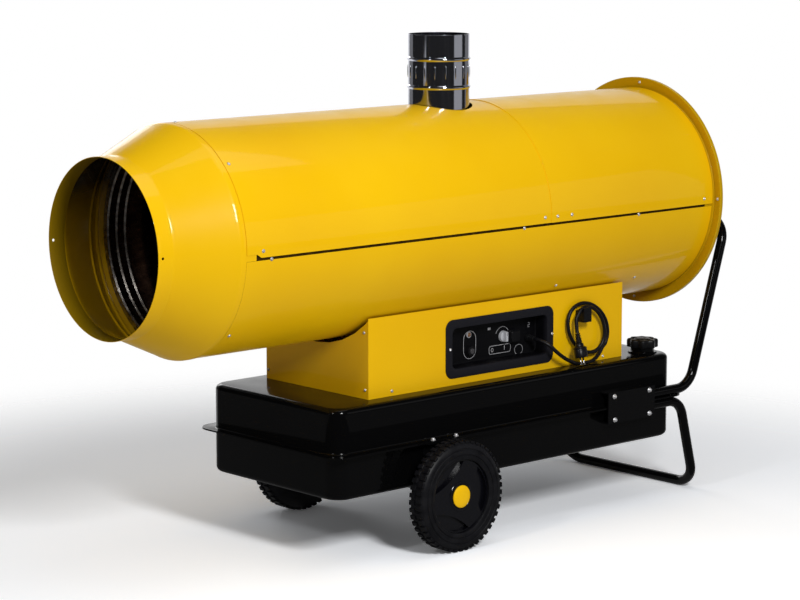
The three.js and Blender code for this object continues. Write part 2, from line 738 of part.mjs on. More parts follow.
// Fittings of the control panel
const knob_radius = 14;
const knob_height = 17;
const knob_clearance = 1;
const knob_grip = 5;
const grip_share = 0.9;             // of the knob's radius, covered by half the grip bar
const knob_base_y = recess_floor_y - knob_clearance;
const knob_face_y = knob_base_y - knob_height;
const stem = (from_y, x, z) =>
  about_y(rod(stem_radius, from_y, recess_floor_y + stem_length, stem_segments), x, z);
node('selector_knob', joined(
  about_y(rod(knob_radius, knob_base_y - knob_height / 2, knob_base_y, round_segments), knob_x, knob_z),
  stem(knob_base_y - knob_height / 4, knob_x, knob_z),
  block(
    knob_x - knob_grip / 2, knob_x + knob_grip / 2, knob_face_y, knob_base_y - knob_height / 4,
    knob_z - grip_share * knob_radius, knob_z + grip_share * knob_radius,
  ),
), silver_plastic);
const reset_radius = 7;
const reset_height = 6;
const reset_travel = 3;
const reset_base_y = recess_floor_y - reset_travel - 2 * gap;
node('reset_button', joined(
  about_y(rod(reset_radius, reset_base_y - reset_height, reset_base_y, round_segments), reset_x, reset_z),
  stem(reset_base_y - reset_height / 2, reset_x, reset_z),
), red_plastic);
const lamp_radius = 6;
const lamp_height = 5;
const lamp_base_y = recess_floor_y - gap;
const lamp_profile_shares = [[0, 1], [0.7, 0.8], [1, 0.3], [1, 0], [0, 0]];     // of radius and height
node('pilot_lamp', about_y(lathed(
  lamp_profile_shares.map(([r, h]) => [lamp_radius * r, lamp_base_y - lamp_height * h]),
  round_segments,
), lamp_x, lamp_z), amber_plastic);
const socket_width = 34;
const socket_height = 32;
const socket_depth = 14;
node('thermostat_socket', across_y(round_rectangle(
  socket_x - socket_width / 2, socket_x + socket_width / 2,
  socket_z - socket_height / 2, socket_z + socket_height / 2, socket_height / 8,
), recess_floor_y - gap - socket_depth, recess_floor_y - gap), black_plastic);
const gland_radius = 10;
const gland_length = 25;
const gland_tip_radius = 6.5;
const gland_waist_share = 0.85;     // of the gland's radius
const gland_taper_shares = [0.45, 0.5];             // of its length, at the taper's end and the collar's start
const gland_tip_y = recess_floor_y - gap - gland_length;
node('cable_gland', about_y(lathed([
  [0, gland_tip_y],
  [gland_tip_radius, gland_tip_y],
  [gland_radius * gland_waist_share, gland_tip_y + gland_length * gland_taper_shares[0]],
  [gland_radius, gland_tip_y + gland_length * gland_taper_shares[1]],
  [gland_radius, recess_floor_y - gap],
  [0, recess_floor_y - gap],
], round_segments), gland_x, gland_z), black_plastic);

// Power cord: out of the gland, down to the tank, and up into a coil that hangs on a hook
const cord_radius = 4.75;
const coil_x = 424.3;
const coil_rise = 89;
const coil_z = tank_top_z + coil_rise;
const coil_back_y = side_face_y - cord_radius - 3 * gap;
const first_half_width = 81;
const first_half_height = 68;
const last_half_width = 49;
const last_half_height = 56;
const coil_outer = [first_half_width, first_half_height];
const coil_inner = [last_half_width, last_half_height];
const coil_lean = THREE.MathUtils.degToRad(13.6);
const coil_from = THREE.MathUtils.degToRad(-20);
const coil_to = THREE.MathUtils.degToRad(505);
const coil_pitch = 2 * cord_radius + 2 * gap;
const coil_steps_per_turn = 24;
function coil_point(angle) {
  const share = (angle - coil_from) / (coil_to - coil_from);
  const [width, height] = coil_outer.map((outer, i) => outer + (coil_inner[i] - outer) * share);
  return new THREE.Vector3(
    coil_x + width * Math.cos(angle),
    coil_back_y - (coil_pitch * (angle - coil_from)) / (2 * Math.PI),
    coil_z + height * Math.sin(angle - coil_lean),
  );
}
const small_turn = 1e-3;
const coil_tangent = (angle) =>
  coil_point(angle + small_turn).sub(coil_point(angle - small_turn)).normalize();
const coil_steps = Math.round((coil_steps_per_turn * (coil_to - coil_from)) / (2 * Math.PI));
const coil_step = (coil_to - coil_from) / coil_steps;
const coil_angles = Array.from({ length: coil_steps + 1 }, (_, i) => coil_from + coil_step * i);
const coil_points = coil_angles.map(coil_point);
const coil_tangents = coil_angles.map(coil_tangent);
const coil_first = coil_tangents[0];
const coil_last = coil_tangents[coil_steps];
coil_points.unshift(coil_points[0].clone().addScaledVector(coil_first, -2 * cord_radius));
coil_points.push(coil_points[coil_steps + 1].clone().addScaledVector(coil_last, 2 * cord_radius));
coil_tangents.unshift(coil_first);
coil_tangents.push(coil_last);
node('cord_coil', swept(new Route(coil_points, coil_tangents), cord_radius, 6), black_rubber);

// Least gap of the coil to itself, between points more than half a turn apart
let least = Infinity;
for (let i = 0; i < coil_points.length; i += 1) {
  for (let k = i + coil_steps_per_turn / 2; k < coil_points.length; k += 1) {
    least = Math.min(least, coil_points[i].distanceTo(coil_points[k]));
  }
}
console.log(`cord_coil least gap to itself ${(least - 2 * cord_radius).toFixed(2)} mm`);

// Places on the lead's way, as shares of its reach along the box, its bulge from the gland and its height
const lead_reach = 223;
const lead_bulge = 44.9;
const lead_shares = [
  [0, 0.1314, 1], [0.0099, 0.4499, 0.9731], [0.0377, 0.7394, 0.8962], [0.0798, 0.9332, 0.7821],
  [0.1291, 1, 0.6462], [0.2108, 1, 0.4795], [0.3049, 0.9555, 0.3231], [0.3991, 0.8753, 0.2077],
  [0.4843, 0.7996, 0.1179], [0.565, 0.7661, 0.0756], [0.6413, 0.7439, 0.0654], [0.7265, 0.7105, 0.0667],
  [0.8027, 0.6437, 0.0923], [0.8744, 0.559, 0.1615], [0.9417, 0.4833, 0.2756], [1, 0.4298, 0.4423],
];
const lead_middle = lead_shares.map(([along, out, up]) => new THREE.Vector3(
  gland_x + lead_reach * along, gland_tip_y - lead_bulge * out, tank_top_z + gland_rise * up,
));
const gland_tip = new THREE.Vector3(gland_x, gland_tip_y, gland_z);
const lead_start = gland_tip.clone().add(new THREE.Vector3(0, -gap, 0));
const coil_entry = coil_points[0].clone().addScaledVector(coil_first, -gap);
const lead_route = new THREE.CatmullRomCurve3([
  lead_start,
  ...lead_middle,
  coil_entry.clone().addScaledVector(coil_first, -cord_radius),
  coil_entry,
]);
node('cord_lead', swept(lead_route, cord_radius, 8, 26), black_rubber);

// Plug, hanging on the cord's end: strain relief, body and two pins
const relief_length = 25;
const plug_length = 36;
const plug_radius = 20;
const plug_flat_share = 0.85;
const plug_neck_shares = [0.6, 0.3];                // of its radius, and of its length
const relief_shares = [1.8, 1.25];                  // of the cord's radius, at the plug and at the cord
const pin_length = 19;
const pin_radius = 2.4;
const pin_spacing = 19;
const plug_offset = 50.9;
const plug_out = 26.7;
const plug_rise = 84.4;
const plug_way_shares = [-0.0237, -0.2763, -0.9608];
const plug_top = new THREE.Vector3(coil_x - plug_offset, side_face_y - plug_out, tank_top_z + plug_rise);
const plug_down = new THREE.Vector3(...plug_way_shares).normalize();
const plug_group = new THREE.Group();
plug_group.position.copy(plug_top);
plug_group.quaternion.setFromUnitVectors(axis_up.clone().negate(), plug_down);
heater.add(plug_group);
node('plug_relief', about_z(lathed([
  [0, -relief_length],
  [cord_radius * relief_shares[0], -relief_length],
  [cord_radius * relief_shares[1], 0],
  [0, 0],
], 12), 0, 0), black_plastic, plug_group);
const plug_turn = THREE.MathUtils.degToRad(23);
const pin = (offset) => about_z(rod(pin_radius, -plug_end - pin_length, -plug_end + pin_radius, 8), offset, 0);
const plug_start = relief_length + gap;
const plug_end = plug_start + plug_length;
node('plug_body', joined(
  about_z(lathed([
    [0, -plug_end],
    [plug_radius, -plug_end],
    [plug_radius, -plug_start - plug_length * plug_neck_shares[1]],
    [plug_radius * plug_neck_shares[0], -plug_start],
    [0, -plug_start],
  ], 16), 0, 0).scale(1, plug_flat_share, 1),
  pin(-pin_spacing / 2),
  pin(pin_spacing / 2),
).rotateZ(plug_turn), black_plastic, plug_group);
const coil_exit = coil_points[coil_points.length - 1].clone().addScaledVector(coil_last, gap);
const tail_end = plug_top.clone().addScaledVector(plug_down, -gap);
const tail_route = new THREE.CatmullRomCurve3([
  coil_exit,
  coil_exit.clone().addScaledVector(coil_last, cord_radius),
  tail_end.clone().addScaledVector(plug_down, -cord_radius),
  tail_end,
]);
node('cord_tail', swept(tail_route, cord_radius, 8, 5), black_rubber);

// Hook: an arched block with a raised lip, on the side of the box
const hook_offset = 30.8;
const hook_length = 26.5;
const hook_rise = 109;
const hook_front_x = coil_x - hook_offset;
const hook_rear_x = hook_front_x + hook_length;
const hook_low_z = tank_top_z + hook_rise;
const hook_reach = 27;
const hook_lip = 3;
const hook_lip_rise = 7;
const hook_angles = [94, 104, 114, 124].map((a) => THREE.MathUtils.degToRad(a + 360));
const hook_top = hook_angles.map((angle) => {
  const along = coil_tangent(angle);
  const across = Math.hypot(along.x, along.z);
  const inward = [-along.z / across, along.x / across];
  const place = coil_point(angle);
  const offset = cord_radius + 4 * gap;
  return [place.x + inward[0] * offset, place.z + inward[1] * offset];
});
const hook_outline = (rise) => outline_of([
  [hook_front_x, hook_low_z],
  [hook_rear_x, hook_low_z],
  ...hook_top.map(([x, z], i) => [i === 0 ? hook_rear_x : i === 3 ? hook_front_x : x, z + rise]),
]);
const hook_back_y = side_face_y - gap;
const coil_room = swept(new Route(coil_points, coil_tangents), cord_radius + 2 * gap, 8);
node('cable_hook', cut(joined(
  across_y(hook_outline(0), hook_back_y - hook_reach, hook_back_y),
  across_y(hook_outline(hook_lip_rise), hook_back_y - hook_reach - hook_lip, hook_back_y - hook_reach + gap),
), coil_room), black_plastic);

// Fuel tank: two pressed halves that meet at a flange
const tank_sheet = 1.5;
const tank_corner = 40;
const tank_round = 10;
const bolt_radius = 4;
const bolt_hole_radius = bolt_radius + gap;
const bracket_bolt_offset = 37;
const bracket_bolt_out = 13;
const bracket_bolt_y = tank_half_width + bracket_bolt_out;
const filler_setback = 58;
const filler_inset = 56;
const filler_x = tank_rear_x - filler_setback;
const filler_y = -(tank_half_width - filler_inset);
const neck_outer = 30;
const neck_inner = 27;
const drain_setback = 56;
const drain_x = tank_front_x + drain_setback;
const drain_radius = 8;
function tank_shell(z_open, z_shut, inset) {
  const options = {
    bevelEnabled: true,
    bevelThickness: tank_round,
    bevelSize: tank_round,
    bevelOffset: -tank_round,
    bevelSegments: 1,
    curveSegments: 4,
  };
  const low = Math.min(z_open, z_shut);
  const height = Math.abs(z_shut - z_open);
  const outline = round_rectangle(
    tank_front_x + inset, tank_rear_x - inset,
    -tank_half_width + inset, tank_half_width - inset, tank_corner - inset,
  );
  const shell = extruded(outline, height, options);
  return shell.translate(0, 0, z_shut > z_open ? low - tank_round : low + tank_round);
}
const flange_outline = round_rectangle(
  tank_front_x - flange_width, tank_rear_x + flange_width,
  -tank_half_width - flange_width, tank_half_width + flange_width, tank_corner + flange_width / 5,
);
const tank_far = 2 * tank_rear_x;
function tank_half(name, z_open, z_shut, z_flange, extra_cutters) {
  const upwards = Math.sign(z_shut - z_open);
  const keep_from = upwards > 0 ? z_open : z_shut - overrun;
  const keep_to = upwards > 0 ? z_shut + overrun : z_open;
  const kept = solid(block(-tank_far, tank_far, -tank_far, tank_far, keep_from, keep_to));
  const inner = solid(tank_shell(z_open - upwards * overrun, z_shut - upwards * tank_sheet, tank_sheet));
  const bolts = [-1, 1].flatMap((sign) => [-1, 1].map((end) =>
    about_z(rod(bolt_hole_radius, flange_bottom_z - overrun, flange_top_z + overrun, 8),
      wheel_x + end * bracket_bolt_offset, sign * bracket_bolt_y)));
  let body = solid(tank_shell(z_open - upwards * overrun, z_shut, 0))
    .add(solid(across_z(flange_outline, Math.min(z_open, z_flange), Math.max(z_open, z_flange))))
    .intersect(kept)
    .subtract(inner);
  for (const cutter of [...bolts, ...extra_cutters]) body = body.subtract(solid(cutter));
  node(name, geometry_of(body), black_paint);
}
const seam_z = flange_bottom_z + flange_sheet + gap / 2;
const drill = (radius, z, sides) => rod(radius, z - overrun, z + overrun, sides);
tank_half('tank_upper', seam_z + gap / 2, tank_top_z, flange_top_z, [
  about_z(drill(neck_inner, tank_top_z, round_segments), filler_x, filler_y),
  about_z(drill(pickup_radius + gap, tank_top_z, stem_segments), pickup_x, pickup_y),
]);
tank_half('tank_lower', seam_z - gap / 2, tank_bottom_z, flange_bottom_z, [
  about_z(drill(drain_radius + gap, tank_bottom_z, stem_segments), drain_x, 0),
]);

// Filler neck, the cap's seal and the lobed cap
const neck_flange_radius = 37;
const neck_flange = 3;
const neck_rise = 25;
const neck_top_z = tank_top_z + neck_rise;
node('filler_neck', about_z(ring_of([
  [neck_inner, tank_top_z + gap],
  [neck_flange_radius, tank_top_z + gap],
  [neck_flange_radius, tank_top_z + gap + neck_flange],
  [neck_outer, tank_top_z + gap + neck_flange],
  [neck_outer, neck_top_z],
  [neck_inner, neck_top_z],
], round_segments), filler_x, filler_y), black_paint);
const seal_sheet = 2;
const seal_plug_depth = 9;
const seal_stud_radius = 5;
const seal_stud_height = 5;
const seal_top_z = neck_top_z + gap + seal_sheet;
node('cap_seal', about_z(lathed([
  [0, neck_top_z - seal_plug_depth],
  [neck_inner - 2 * gap, neck_top_z - seal_plug_depth],
  [neck_inner - 2 * gap, neck_top_z + gap],
  [neck_outer, neck_top_z + gap],
  [neck_outer, seal_top_z],
  [seal_stud_radius, seal_top_z],
  [seal_stud_radius, seal_top_z + seal_stud_height],
  [0, seal_top_z + seal_stud_height],
], round_segments), filler_x, filler_y), black_rubber);
const cap_radius = 40;
const cap_lobe = 2.5;
const cap_lobes = 8;
const cap_height = 22;
const cap_overlap = 11;
const cap_low_z = neck_top_z - cap_overlap;
const cap_cavity = neck_outer + 4 * gap;
const cap_points = 6 * cap_lobes;
const cap_outline = outline_of(Array.from({ length: cap_points }, (_, i) => {
  const turn = (2 * Math.PI * i) / cap_points;
  const radius = cap_radius - cap_lobe * (1 - Math.cos(cap_lobes * turn));
  return [radius * Math.cos(turn), radius * Math.sin(turn)];
}));
node('filler_cap', cut(
  across_z(cap_outline, cap_low_z, cap_low_z + cap_height).translate(filler_x, filler_y, 0),
  about_z(rod(cap_cavity, cap_low_z - overrun, seal_top_z + gap, round_segments), filler_x, filler_y),
  about_z(
    rod(seal_stud_radius + gap, cap_low_z, seal_top_z + seal_stud_height + gap, round_segments),
    filler_x, filler_y,
  ),
), black_plastic);
const drain_head = 12;
const drain_head_height = 8;
const drain_top_z = tank_bottom_z - gap;
const drain_stem_z = drain_top_z - drain_head_height / 2;
node('drain_plug', joined(
  about_z(rod(drain_head, drain_top_z - drain_head_height, drain_top_z, 6), drain_x, 0),
  about_z(rod(drain_radius, drain_stem_z, tank_bottom_z + tank_sheet + gap, stem_segments), drain_x, 0),
), bright_steel);

// Tubes: the push handle above the flange and the foot stand below it
const tube_radius = 12.5;
const tube_y = tank_half_width + tube_radius;
const tube_sides = 12;
const tube_corner_radius = tube_radius / Math.cos(Math.PI / tube_sides);
const handle_z = flange_top_z + tube_radius + gap;
const stand_z = flange_bottom_z - tube_radius - gap;
const tube_front_x = 480;
const handle_bend_x = 754.5;
const handle_top_x = grip_x - tube_radius;
const grip_rise = 436;
const grip_z = flange_top_z + grip_rise;
const handle_bend_radius = 62;
const handle = [
  [tube_front_x, -tube_y, handle_z],
  [handle_bend_x, -tube_y, handle_z],
  [handle_top_x, -tube_y, grip_z],
  [handle_top_x, tube_y, grip_z],
  [handle_bend_x, tube_y, handle_z],
  [tube_front_x, tube_y, handle_z],
];
// A bent tube with a level cross part between its second and third bends
const bend_steps = 4;
function bent_tube(corners, bend_radius) {
  const route = bent_route(corners, bend_radius, bend_steps);
  const bend_of = (i) => Math.floor((i - 1) / (bend_steps + 1));
  const step_share = (i) => ((i - 1) % (bend_steps + 1)) / bend_steps;
  route.level_shares = route.points.map((_, i) => {
    if (bend_of(i) === 1) return step_share(i);
    return bend_of(i) === 2 ? 1 - step_share(i) : 0;
  });
  return swept(route, tube_corner_radius, tube_sides);
}
node('push_handle', bent_tube(handle, handle_bend_radius), black_paint);
const stand_bend_x = 719;
const stand_foot_x = 798;
const stand_bend_radius = 60;
const stand_toe_share = 0.93;
const stand = [
  [tube_front_x, -tube_y, stand_z],
  [stand_bend_x, -tube_y, stand_z],
  [stand_foot_x, -tube_y * stand_toe_share, tube_radius],
  [stand_foot_x, tube_y * stand_toe_share, tube_radius],
  [stand_bend_x, tube_y, stand_z],
  [tube_front_x, tube_y, stand_z],
];
node('foot_stand', bent_tube(stand, stand_bend_radius), black_paint);

// Clamps: a channel each side that holds both tubes against the flange
const clamp_front_x = 437;
const clamp_rear_x = 607;
const clamp_sheet = 3;
const clamp_margin = 9;
const clamp_high_z = handle_z + tube_radius + clamp_margin;
const clamp_low_z = stand_z - tube_radius - clamp_margin;
const clamp_face_y = tank_half_width + flange_width + gap;
function clamp(name, sign) {
  const at = (y, z) => [sign * y, z];
  node(name, across_x(outline_of([
    at(tank_half_width + gap, clamp_low_z - clamp_sheet),
    at(clamp_face_y + clamp_sheet, clamp_low_z - clamp_sheet),
    at(clamp_face_y + clamp_sheet, clamp_high_z + clamp_sheet),
    at(tank_half_width + gap, clamp_high_z + clamp_sheet),
    at(tank_half_width + gap, clamp_high_z),
    at(clamp_face_y, clamp_high_z),
    at(clamp_face_y, clamp_low_z),
    at(tank_half_width + gap, clamp_low_z),
  ]), clamp_front_x, clamp_rear_x), black_paint);
}
clamp('tube_clamp_left', -1);
clamp('tube_clamp_right', 1);

// Axle and its two brackets, hung from the flange
const axle_radius = 10;
const axle_bore = axle_radius + gap;
const axle_inset = 4;
const axle_half_length = wheel_outer_y - axle_inset;
node('axle', about_y(
  rod(axle_radius, -axle_half_length, axle_half_length, round_segments), wheel_x, wheel_radius,
), bright_steel);
const bracket_sheet = 3;
const bracket_half_width = 60;
const bracket_eye = 26;
const bracket_flange = 23;
const bracket_y = tank_half_width + gap;
function bracket(name, sign) {
  const top_z = flange_bottom_z - gap;
  const eye = [-60, -90, -120].map((a) => {
    const turn = THREE.MathUtils.degToRad(a);
    return [wheel_x + bracket_eye * Math.cos(turn), wheel_radius + bracket_eye * Math.sin(turn)];
  }).reverse();
  const outline = outline_of([
    [wheel_x - bracket_half_width, top_z],
    [wheel_x - bracket_half_width, top_z - bracket_eye],
    [wheel_x - bracket_eye, wheel_radius],
    ...eye,
    [wheel_x + bracket_eye, wheel_radius],
    [wheel_x + bracket_half_width, top_z - bracket_eye],
    [wheel_x + bracket_half_width, top_z],
  ]);
  const place = (near, far) => (sign > 0 ? [near, far] : [-far, -near]);
  const bolt = (end) => about_z(
    rod(bolt_hole_radius, top_z - overrun, top_z + overrun, 8),
    wheel_x + end * bracket_bolt_offset, sign * bracket_bolt_y,
  );
  node(name, cut(
    joined(
      across_y(outline, ...place(bracket_y, bracket_y + bracket_sheet)),
      block(
        wheel_x - bracket_half_width, wheel_x + bracket_half_width,
        ...place(bracket_y, bracket_y + bracket_flange), top_z - bracket_sheet, top_z,
      ),
    ),
    about_y(
      rod(axle_bore, ...place(bracket_y - overrun, bracket_y + bracket_sheet + overrun), round_segments),
      wheel_x, wheel_radius,
    ),
    bolt(-1),
    bolt(1),
  ), black_paint);
}
bracket('axle_bracket_left', -1);
bracket('axle_bracket_right', 1);

// Wheels: a moulded disc with three curved pockets, a rubber tyre and a push-on hub cap
const disc_radius = 88;
const disc_width = 31;
const disc_inset = 9;
const boss_height = 2;
const disc_outer_y = wheel_outer_y - disc_inset;
const disc_inner_y = disc_outer_y - disc_width;
const hub_boss_radius = 24;
const hub_boss_inner_y = bracket_y + bracket_sheet + 2 * gap;
const wheel_segments = 28;
const wheel_turn = Math.PI / wheel_segments;
const tread_radius = wheel_radius / Math.cos(wheel_turn);
const pocket_depth = 9;
const pocket_margin = 4;            // between a pocket and the edge of the disc
const pocket_inner_radius = 52;
const pocket_half_angle = THREE.MathUtils.degToRad(43);
const pocket_turn = THREE.MathUtils.degToRad(-24);
const pockets = 3;
const shoulder = 6;
const sidewall_step = 3;
const cap_dome = 4;
const hub_cap_radius = 26.8;
const hub_face_margin = 6;          // round the cap, on the raised face of the hub
const cap_crown_share = 0.7;        // of its radius, where the crown starts
const hub_face_radius = hub_cap_radius + hub_face_margin;
// A pocket's outline about the wheel's axis: an outer arc along the rim and an arc that bulges to the hub
function pocket_outline() {
  const steps = 5;
  const outer_radius = disc_radius - pocket_margin;
  const half_chord = outer_radius * Math.sin(pocket_half_angle);
  const bulge = outer_radius * Math.cos(pocket_half_angle) - pocket_inner_radius;
  const bulge_radius = (half_chord ** 2 + bulge ** 2) / (2 * bulge);
  const spread = Math.asin(half_chord / bulge_radius);
  const along = (i) => -1 + (2 * i) / steps;
  return outline_of([
    ...Array.from({ length: steps }, (_, i) => {
      const turn = pocket_half_angle * along(i);
      return [outer_radius * Math.sin(turn), outer_radius * Math.cos(turn)];
    }),
    ...Array.from({ length: steps }, (_, i) => {
      const turn = -spread * along(i);
      return [bulge_radius * Math.sin(turn), pocket_inner_radius + bulge_radius * (1 - Math.cos(turn))];
    }),
  ]);
}
function wheel(side_name, sign) {
  const group = new THREE.Group();
  group.position.set(wheel_x, 0, wheel_radius);
  if (sign < 0) group.rotation.z = Math.PI;
  heater.add(group);
  const disc = lathed([
    [axle_bore, hub_boss_inner_y],
    [hub_boss_radius, hub_boss_inner_y],
    [hub_boss_radius, disc_inner_y],
    [disc_radius, disc_inner_y],
    [disc_radius, disc_outer_y],
    [hub_face_radius + boss_height, disc_outer_y],
    [hub_face_radius, disc_outer_y + boss_height],
    [axle_bore, disc_outer_y + boss_height],
    [axle_bore, hub_boss_inner_y],
  ], wheel_segments, wheel_turn);
  const cutters = Array.from({ length: pockets }, (_, i) =>
    across_y(pocket_outline(), disc_outer_y - pocket_depth, disc_outer_y + overrun)
      .rotateY((2 * Math.PI * (i + 0.5)) / pockets + pocket_turn));
  node(`wheel_${side_name}`, cut(disc, ...cutters), black_plastic, group);
  node(`tyre_${side_name}`, ring_of([
    [disc_radius + gap, wheel_inner_y + sidewall_step],
    [tread_radius - 3 * shoulder, wheel_inner_y],
    [tread_radius - shoulder, wheel_inner_y + sidewall_step],
    [tread_radius, wheel_inner_y + 2 * shoulder],
    [tread_radius, wheel_outer_y - 2 * shoulder],
    [tread_radius - shoulder, wheel_outer_y - sidewall_step],
    [tread_radius - 3 * shoulder, wheel_outer_y],
    [disc_radius + gap, wheel_outer_y - sidewall_step],
  ], wheel_segments, wheel_turn), black_rubber, group);
  const cap_base_y = disc_outer_y + boss_height + gap;
  node(`hub_cap_${side_name}`, lathed([
    [0, axle_half_length + gap],
    [axle_bore, axle_half_length + gap],
    [axle_bore, cap_base_y],
    [hub_cap_radius, cap_base_y],
    [hub_cap_radius, cap_base_y + cap_dome / 2],
    [hub_cap_radius * cap_crown_share, cap_base_y + cap_dome * 1.5],
    [0, axle_half_length + cap_dome],
  ], round_segments), yellow_plastic, group);
}
wheel('left', -1);
wheel('right', 1);

export default heater;
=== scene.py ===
# Indirect fired space heater: the looks of a yellow sheet steel drum on its control box, fuel tank and wheels.
# Everything is in metres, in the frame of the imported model, with the outlet at -X and the control panel at -Y.
import math

import bmesh
import bpy
from mathutils import Matrix, Vector


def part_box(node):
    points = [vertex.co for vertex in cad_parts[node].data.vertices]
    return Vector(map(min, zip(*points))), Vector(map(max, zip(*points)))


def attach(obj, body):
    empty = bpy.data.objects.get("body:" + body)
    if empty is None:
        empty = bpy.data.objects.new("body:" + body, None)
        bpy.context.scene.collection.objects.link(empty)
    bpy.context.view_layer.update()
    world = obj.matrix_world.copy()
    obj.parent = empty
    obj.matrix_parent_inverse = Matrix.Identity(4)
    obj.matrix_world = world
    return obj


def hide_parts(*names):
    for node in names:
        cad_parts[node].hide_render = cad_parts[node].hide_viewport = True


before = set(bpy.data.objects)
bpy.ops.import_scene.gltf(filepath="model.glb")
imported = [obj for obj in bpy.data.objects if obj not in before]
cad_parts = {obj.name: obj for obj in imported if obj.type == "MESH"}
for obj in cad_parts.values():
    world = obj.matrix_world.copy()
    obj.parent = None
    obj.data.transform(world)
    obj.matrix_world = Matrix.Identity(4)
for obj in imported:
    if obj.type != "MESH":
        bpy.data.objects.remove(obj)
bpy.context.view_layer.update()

scene = bpy.context.scene
scene.view_settings.view_transform = "Standard"

# Camera
# A long lens ahead of the outlet, on the panel side, a little above the drum.
# Its place and lens come from the fit of the machine's known edges.
camera = bpy.data.objects.new("camera", bpy.data.cameras.new("camera"))
scene.collection.objects.link(camera)
scene.camera = camera
camera.data.lens = 118.03
camera.location = (-4.2584, -4.6697, 1.5511)
camera_pitch = 81.03
camera_yaw = -42.18
camera.rotation_euler = (math.radians(camera_pitch), 0, math.radians(camera_yaw))


# Power cord
# A 9.5 mm rubber sheathed flex, pulled through the gland, laid on the tank's top and wound one and a half
# turns round the moulded hook. The sheath has a soft sheen and a fine grain.
def wired(tree, kind, inputs=None, out=0, **settings):
    """One output of a new node, whose settings are made and whose inputs are set or linked"""
    node = tree.nodes.new(kind)
    for setting, value in settings.items():
        setattr(node, setting, value)
    for socket, values in (inputs or {}).items():
        for value in values if isinstance(values, list) else [values]:
            if isinstance(value, bpy.types.NodeSocket):
                tree.links.new(value, node.inputs[socket])
            else:
                node.inputs[socket].default_value = value
    return node.outputs[out]


class Finish:
    """A material that keeps a slot name, with plain values on the shader's own sockets and its grain in the piece's
    space
    """

    def __init__(self, name, slot, colour, **values):
        self.slot = slot
        self.material = bpy.data.materials.new(name)
        self.material.use_nodes = True
        self.tree = self.material.node_tree
        self.shader = self.tree.nodes["Principled BSDF"].inputs
        self.place = wired(self.tree, "ShaderNodeTexCoord", out="Object")
        self.shader["Base Color"].default_value = (*colour, 1)
        for socket, value in values.items():
            self.shader[socket.replace("_", " ")].default_value = value

    def grain(self, scale, detail=2.0, stretch=(1, 1, 1)):
        """A noise of that scale, or the share that stands in the scale's place"""
        if isinstance(scale, bpy.types.NodeSocket):
            return scale
        place = wired(self.tree, "ShaderNodeMapping", {"Vector": self.place, "Scale": stretch})
        return wired(self.tree, "ShaderNodeTexNoise", {"Vector": place, "Scale": scale, "Detail": detail}, "Fac")

    def along(self, axis, start, end):
        """A share that runs from 0 to 1 between two places on an axis"""
        place = wired(self.tree, "ShaderNodeSeparateXYZ", {"Vector": self.place}, axis)
        return wired(self.tree, "ShaderNodeMapRange", {"Value": place, "From Min": start, "From Max": end})

    def tinted(self, low, high, *grain, start=0.35, end=0.65):
        """The colour runs from low to high as the grain runs from start to end"""
        shade = wired(self.tree, "ShaderNodeValToRGB", {"Fac": self.grain(*grain)})
        for stop, position, colour in zip(shade.node.color_ramp.elements, (start, end), (low, high)):
            stop.position = position
            stop.color = (*colour, 1)
        self.tree.links.new(shade, self.shader["Base Color"])
        return self

    def rubbed(self, low, high, *grain):
        """The roughness runs from low to high over the middle of the grain"""
        rough = wired(self.tree, "ShaderNodeMapRange", {
            "Value": self.grain(*grain), "From Min": 0.3, "From Max": 0.7, "To Min": low, "To Max": high,
        })
        self.tree.links.new(rough, self.shader["Roughness"])
        return self

    def raised(self, depth, *grain):
        """The grain raises the surface by up to the depth, on top of any earlier grain"""
        surface = wired(self.tree, "ShaderNodeBump", {"Height": self.grain(*grain), "Distance": depth})
        for earlier in self.shader["Normal"].links:
            self.tree.links.new(earlier.from_socket, surface.node.inputs["Normal"])
        self.tree.links.new(surface, self.shader["Normal"])
        return self


def dressed(piece, finish, *nodes, body="heater"):
    """The piece takes its finish, rides on its body and stands for the CAD nodes named"""
    if piece.type == "MESH":
        piece.data.shade_smooth()
    if not len(piece.data.materials):
        piece.data.materials.append(finish.material)
    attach(piece, body)
    if nodes:
        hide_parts(*nodes)
    return piece


def smooth_route(corners, steps):
    """Points along the centripetal curve through the corners"""
    corners = [Vector(corner) for corner in corners]
    padded = [2 * corners[0] - corners[1], *corners, 2 * corners[-1] - corners[-2]]
    route = []
    for before, start, end, after in zip(padded, padded[1:], padded[2:], padded[3:]):
        gaps = [max((b - a).length, 1e-6) ** 0.5 for a, b in ((before, start), (start, end), (end, after))]
        chord = (end - start) / gaps[1]
        leaving = ((start - before) / gaps[0] - (end - before) / (gaps[0] + gaps[1]) + chord) * gaps[1]
        arriving = (chord - (after - start) / (gaps[1] + gaps[2]) + (after - end) / gaps[2]) * gaps[1]
        for i in range(steps):
            t = i / steps
            route.append(
                start * (2 * t**3 - 3 * t**2 + 1) + leaving * (t**3 - 2 * t**2 + t)
                + end * (3 * t**2 - 2 * t**3) + arriving * (t**3 - t**2)
            )
    return [*route, corners[-1]]


